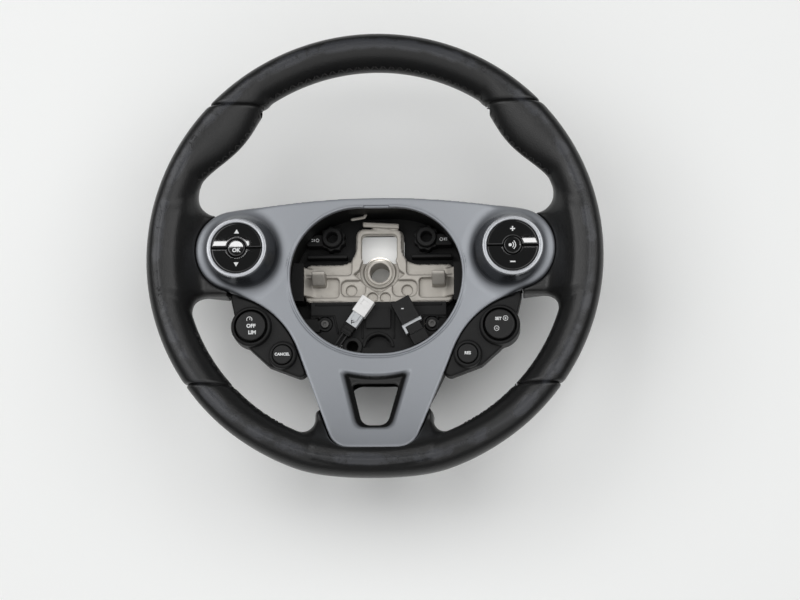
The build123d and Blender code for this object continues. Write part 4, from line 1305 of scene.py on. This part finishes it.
# Printed legends
def legend(name, words, size, place, material, slot, body):
    """Flat printed words centred on a place, with a hair's thickness."""
    curve = bpy.data.curves.new(name, "FONT")
    curve.body = words
    curve.size = size * MM
    curve.align_x, curve.align_y = "CENTER", "CENTER"
    curve.extrude = PRINT_HALF * MM
    curve.resolution_u = 3
    curve.offset = PRINT_BOLD * size * MM
    text = add_object(name + "_text", curve)
    bpy.context.view_layer.update()
    mesh = bpy.data.meshes.new_from_object(text.evaluated_get(bpy.context.evaluated_depsgraph_get()))
    bpy.data.objects.remove(text)
    x, y, level = place
    mesh.transform(Matrix.Translation(Vector((x, y, level + RIM_LEVEL)) * MM))
    finish_piece(add_object(name, mesh), material, slot, body)


def symbol(name, shapes, place, material, slot, body="wheel"):
    """Flat printed sign from polygons in millimetres about a place."""
    x, y, level = place
    points, faces = [], []
    for shape in shapes:
        faces.append(list(range(len(points), len(points) + len(shape))))
        points += [(x + px, y + py, level) for px, py in shape]
    finish_piece(mesh_object(name, points, faces, smooth=False), material, slot, body)


def ring_shape(radius, width, start=0.0, end=360.0, count=24):
    """Band of a circle as quads, about the middle."""
    quads = []
    for k in range(count):
        a, b = (math.radians(start + (end - start) * (k + d) / count) for d in (0, 1))
        corners = [(radius, a), (radius + width, a), (radius + width, b), (radius, b)]
        quads.append([(r * math.cos(t), r * math.sin(t)) for r, t in corners])
    return quads


def bar(width, height, x=0.0, y=0.0):
    """Upright rectangle about a place."""
    corners = [(-1, -1), (1, -1), (1, 1), (-1, 1)]
    return [(x + side * width / 2, y + end * height / 2) for side, end in corners]


def print_legends(material):
    """Words and signs on keys and rockers, each riding on its own."""
    up = [(-2.0, -1.6), (2.0, -1.6), (0, 1.9)]
    down = [(-2.0, 1.6), (0, -1.9), (2.0, 1.6)]
    plus = [bar(4.0, 1.0), bar(1.0, 1.5, 0, 1.25), bar(1.0, 1.5, 0, -1.25)]
    minus = [bar(4.2, 1.1)]
    voice = ring_shape(0.0, 1.3) + ring_shape(2.4, 0.7, -50, 50, 8) + ring_shape(4.0, 0.7, -50, 50, 10)
    gauge = ring_shape(1.9, 0.5, -30, 210, 14) + [bar(0.5, 2.0, 0.4, 0.6)]
    ringed_minus = ring_shape(1.7, 0.4) + [bar(2.0, 0.4)]
    ringed_plus = ringed_minus + [bar(0.4, 0.8, 0, 0.6), bar(0.4, 0.8, 0, -0.6)]
    pod_x, pod_y = POD
    left_pod, right_pod = (-pod_x, pod_y), (pod_x, pod_y)
    left_rocker, right_rocker = (-ROCKER[0], ROCKER[1]), ROCKER
    left_button, right_button = (-BUTTON[0], BUTTON[1]), BUTTON
    arc_level, centre_level = KEY_TOP, KEY_TOP + CENTRE_KEY_RISE
    # Name, key, words with their size or a sign's shapes, middle of the key, shift from it and level
    marks = [
        ("left_up_mark", "left_upper_key", [up], left_pod, (0, ARC_KEY_MARK), arc_level),
        ("left_down_mark", "left_lower_key", [down], left_pod, (0, -ARC_KEY_MARK), arc_level),
        ("left_ok_mark", "left_centre_key", ("OK", 4.4), left_pod, (0, -2.2), centre_level),
        ("right_plus_mark", "right_upper_key", plus, right_pod, (0, ARC_KEY_MARK), arc_level),
        ("right_minus_mark", "right_lower_key", minus, right_pod, (0, -ARC_KEY_MARK), arc_level),
        ("right_voice_mark", "right_centre_key", voice, right_pod, (-2.0, 0), centre_level),
        ("limit_gauge_mark", "limit_rocker", gauge, left_rocker, (-1.0, 5.2), ROCKER_TOP),
        ("limit_off_mark", "limit_rocker", ("OFF", 4.2), left_rocker, (0.4, -0.2), ROCKER_TOP),
        ("limit_lim_mark", "limit_rocker", ("LIM", 4.2), left_rocker, (1.4, -5.6), ROCKER_TOP),
        ("cancel_mark", "cancel_key", ("CANCEL", 3.15), left_button, (0, 0), BUTTON_TOP),
        ("set_mark", "set_rocker", ("SET", 3.3), right_rocker, (-1.2, 4.2), ROCKER_TOP),
        ("set_plus_mark", "set_rocker", ringed_plus, right_rocker, (4.6, 4.6), ROCKER_TOP),
        ("set_minus_mark", "set_rocker", ringed_minus, right_rocker, (-2.6, -3.6), ROCKER_TOP),
        ("resume_mark", "resume_key", ("RES", 3.3), right_button, (0, 0), BUTTON_TOP),
    ]
    for name, key, drawing, middle, shift, level in marks:
        place = (middle[0] + shift[0], middle[1] + shift[1], level + PRINT_GAP)
        if isinstance(drawing, tuple):
            legend(name, *drawing, place, material, NODE_SLOTS[key], key)
        else:
            symbol(name, drawing, place, material, NODE_SLOTS[key], key)


def mark_bay(white, black):
    """Small release signs beside the bushes and marks on the plugs."""
    sign = ring_shape(1.0, 0.5) + [bar(0.7, 2.2, -2.6), bar(1.5, 0.6, -4.2, 0.8), bar(1.5, 0.6, -4.2, -0.8)]
    turned = [[(-px, py) for px, py in shape[::-1]] for shape in sign]
    strokes = [bar(0.7, 3.2, -1.0), bar(2.6, 0.7, 0.5, 1.2), bar(2.2, 0.7, 0.3, -0.4)]
    plug_top, latch_top = PLUG_LEVEL + BLACK_PLUG_TOP, PLUG_LEVEL + LATCH_TOP
    marks = [
        ("left_bush_mark", sign, (-52.0, 26.5, PAD_LEVEL), white, "black_plastic"),
        ("right_bush_mark", turned, (52.0, 26.5, PAD_LEVEL), white, "black_plastic"),
        ("lower_bush_mark", sign, (-30.5, -65.5, TRAY_TOP), white, "black_plastic"),
        ("horn_plug_mark", [bar(2.0, 0.8)], (20.6, -36.0, plug_top), white, "plug_black"),
        ("latch_mark", strokes, (-20.6, -46.2, latch_top), black, "plug_lock"),
    ]
    for name, shapes, (x, y, level), material, slot in marks:
        symbol(name, shapes, (x, y, level + BAY_PRINT_GAP), material, slot)


# Studio
def lay_floor():
    """Pale floor a hair under the lowest point of the part."""
    hair, width = 0.0005, 12
    floor_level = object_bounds()[0].z
    bpy.ops.mesh.primitive_plane_add(size=width, location=(0, 0, floor_level - hair))
    floor = bpy.context.object
    floor.name = "studio_floor"
    ground = Finish("pale_floor", Roughness=0.6)
    wash = ground.noise(1.6, 2.0)
    colour = ground.mix(wash, (0.90, 0.905, 0.895, 1), (0.94, 0.945, 0.935, 1))
    floor.data.materials.append(ground.shade(Base_Color=colour))


def hang_lamps():
    """Dim world, broad panels round the wheel, two thin tubes for the keys and a light under the hub."""
    world = bpy.data.worlds.new("studio")
    world.use_nodes = True
    background = world.node_tree.nodes["Background"]
    feed(world.node_tree, background, {"Color": (0.96, 0.98, 1.0, 1), "Strength": 0.16})
    bpy.context.scene.world = world
    # Place, width and depth in metres, and power in watts
    lamps = {
        "front_panel": ((-0.2, -1.42, 2.25), 4.8, 3.56, 47.0),
        "left_panel": ((-1.935, 0.9, 2.2), 2.93, 1.8, 36.0),
        "right_panel": ((1.8, 0.9, 2.2), 3.2, 1.8, 30.0),
        "left_tube": ((-0.613, 0.489, 2.19), 0.484, 0.0105, 0.32),
        "right_tube": ((0.36, 0.489, 2.19), 0.49, 0.0105, 0.32),
        "under_hub": ((0.0, 0.02, 0.024), 0.022, 0.018, 0.005),
    }
    for name, (place, wide, deep, power) in lamps.items():
        lamp = bpy.data.lights.new(name, "AREA")
        lamp.shape = "RECTANGLE"
        lamp.size, lamp.size_y = wide, deep
        lamp.energy = power
        add_object(name, lamp).location = place


def set_camera():
    """Camera at the photograph's angle, aimed at the middle of the rim."""
    azimuth, elevation, roll = math.radians(17.5), math.radians(76.83), math.radians(-17.67)
    distance, lens, sensor = 1.8, 100.26, 36.0
    middle_px, image_px = (373.9, 254.3), (800, 600)
    back = Vector((math.sin(azimuth) * math.cos(elevation), -math.cos(azimuth) * math.cos(elevation),
                   math.sin(elevation)))
    right = Vector((0, 0, 1)).cross(back).normalized()
    up = back.cross(right)
    turned_right = right * math.cos(roll) + up * math.sin(roll)
    turned_up = up * math.cos(roll) - right * math.sin(roll)
    data = bpy.data.cameras.new("photo_camera")
    data.lens, data.sensor_width = lens, sensor
    data.shift_x = (image_px[0] / 2 - middle_px[0]) / image_px[0]
    data.shift_y = (middle_px[1] - image_px[1] / 2) / image_px[0]
    camera = add_object("photo_camera", data)
    turn = Matrix((turned_right, turned_up, back)).transposed().to_4x4()
    camera.matrix_world = Matrix.Translation(Vector((0, 0, RIM_LEVEL * MM)) + back * distance) @ turn
    bpy.context.scene.camera = camera
    bpy.context.scene.view_settings.view_transform = "Standard"


finishes = {
    "casting": casting_finish(),
    "foam": plastic_finish("moulded_padding", 0.03, 0.8),
    "leather": leather_finish(),
    "silver": silver_finish(),
    "black_plastic": plastic_finish("matt_black_moulding", 0.0075, 0.5),
    "bush": plastic_finish("bush_moulding", 0.012, 0.4),
    "white_plastic": plastic_finish("white_moulding", 0.80, 0.4, grain=900, strength=0.1, warm=0.01,
                                    dust=0.05, gleam=0.5),
    "plug_black": plastic_finish("plug_moulding", 0.008, 0.4),
    "plug_lock": plastic_finish("pale_moulding", 0.55, 0.42, grain=900, strength=0.1, warm=-0.03,
                                dust=0.05, gleam=0.5),
    "lead": plastic_finish("lead_insulation", 0.010, 0.42, gleam=0.4),
    "switch_black": plastic_finish("housing_black", 0.0085, 0.48),
    "key_black": plastic_finish("satin_key", 0.007, 0.36, grain=2200, strength=0.12, gleam=0.25),
    "gloss_black": gloss_finish(),
    "screw": steel_finish(),
}
white_print = legend_finish()
paint_nodes(finishes)
dress_leather(finishes["leather"])
dress_bezel(finishes["silver"])
dress_switches(finishes["switch_black"])
dress_hub(finishes["casting"])
dress_keys(finishes["gloss_black"])
fit_bay(finishes)
sew_rim(thread_finish())
print_legends(white_print)
mark_bay(white_print, finishes["plug_black"])
lay_floor()
hang_lamps()
set_camera()
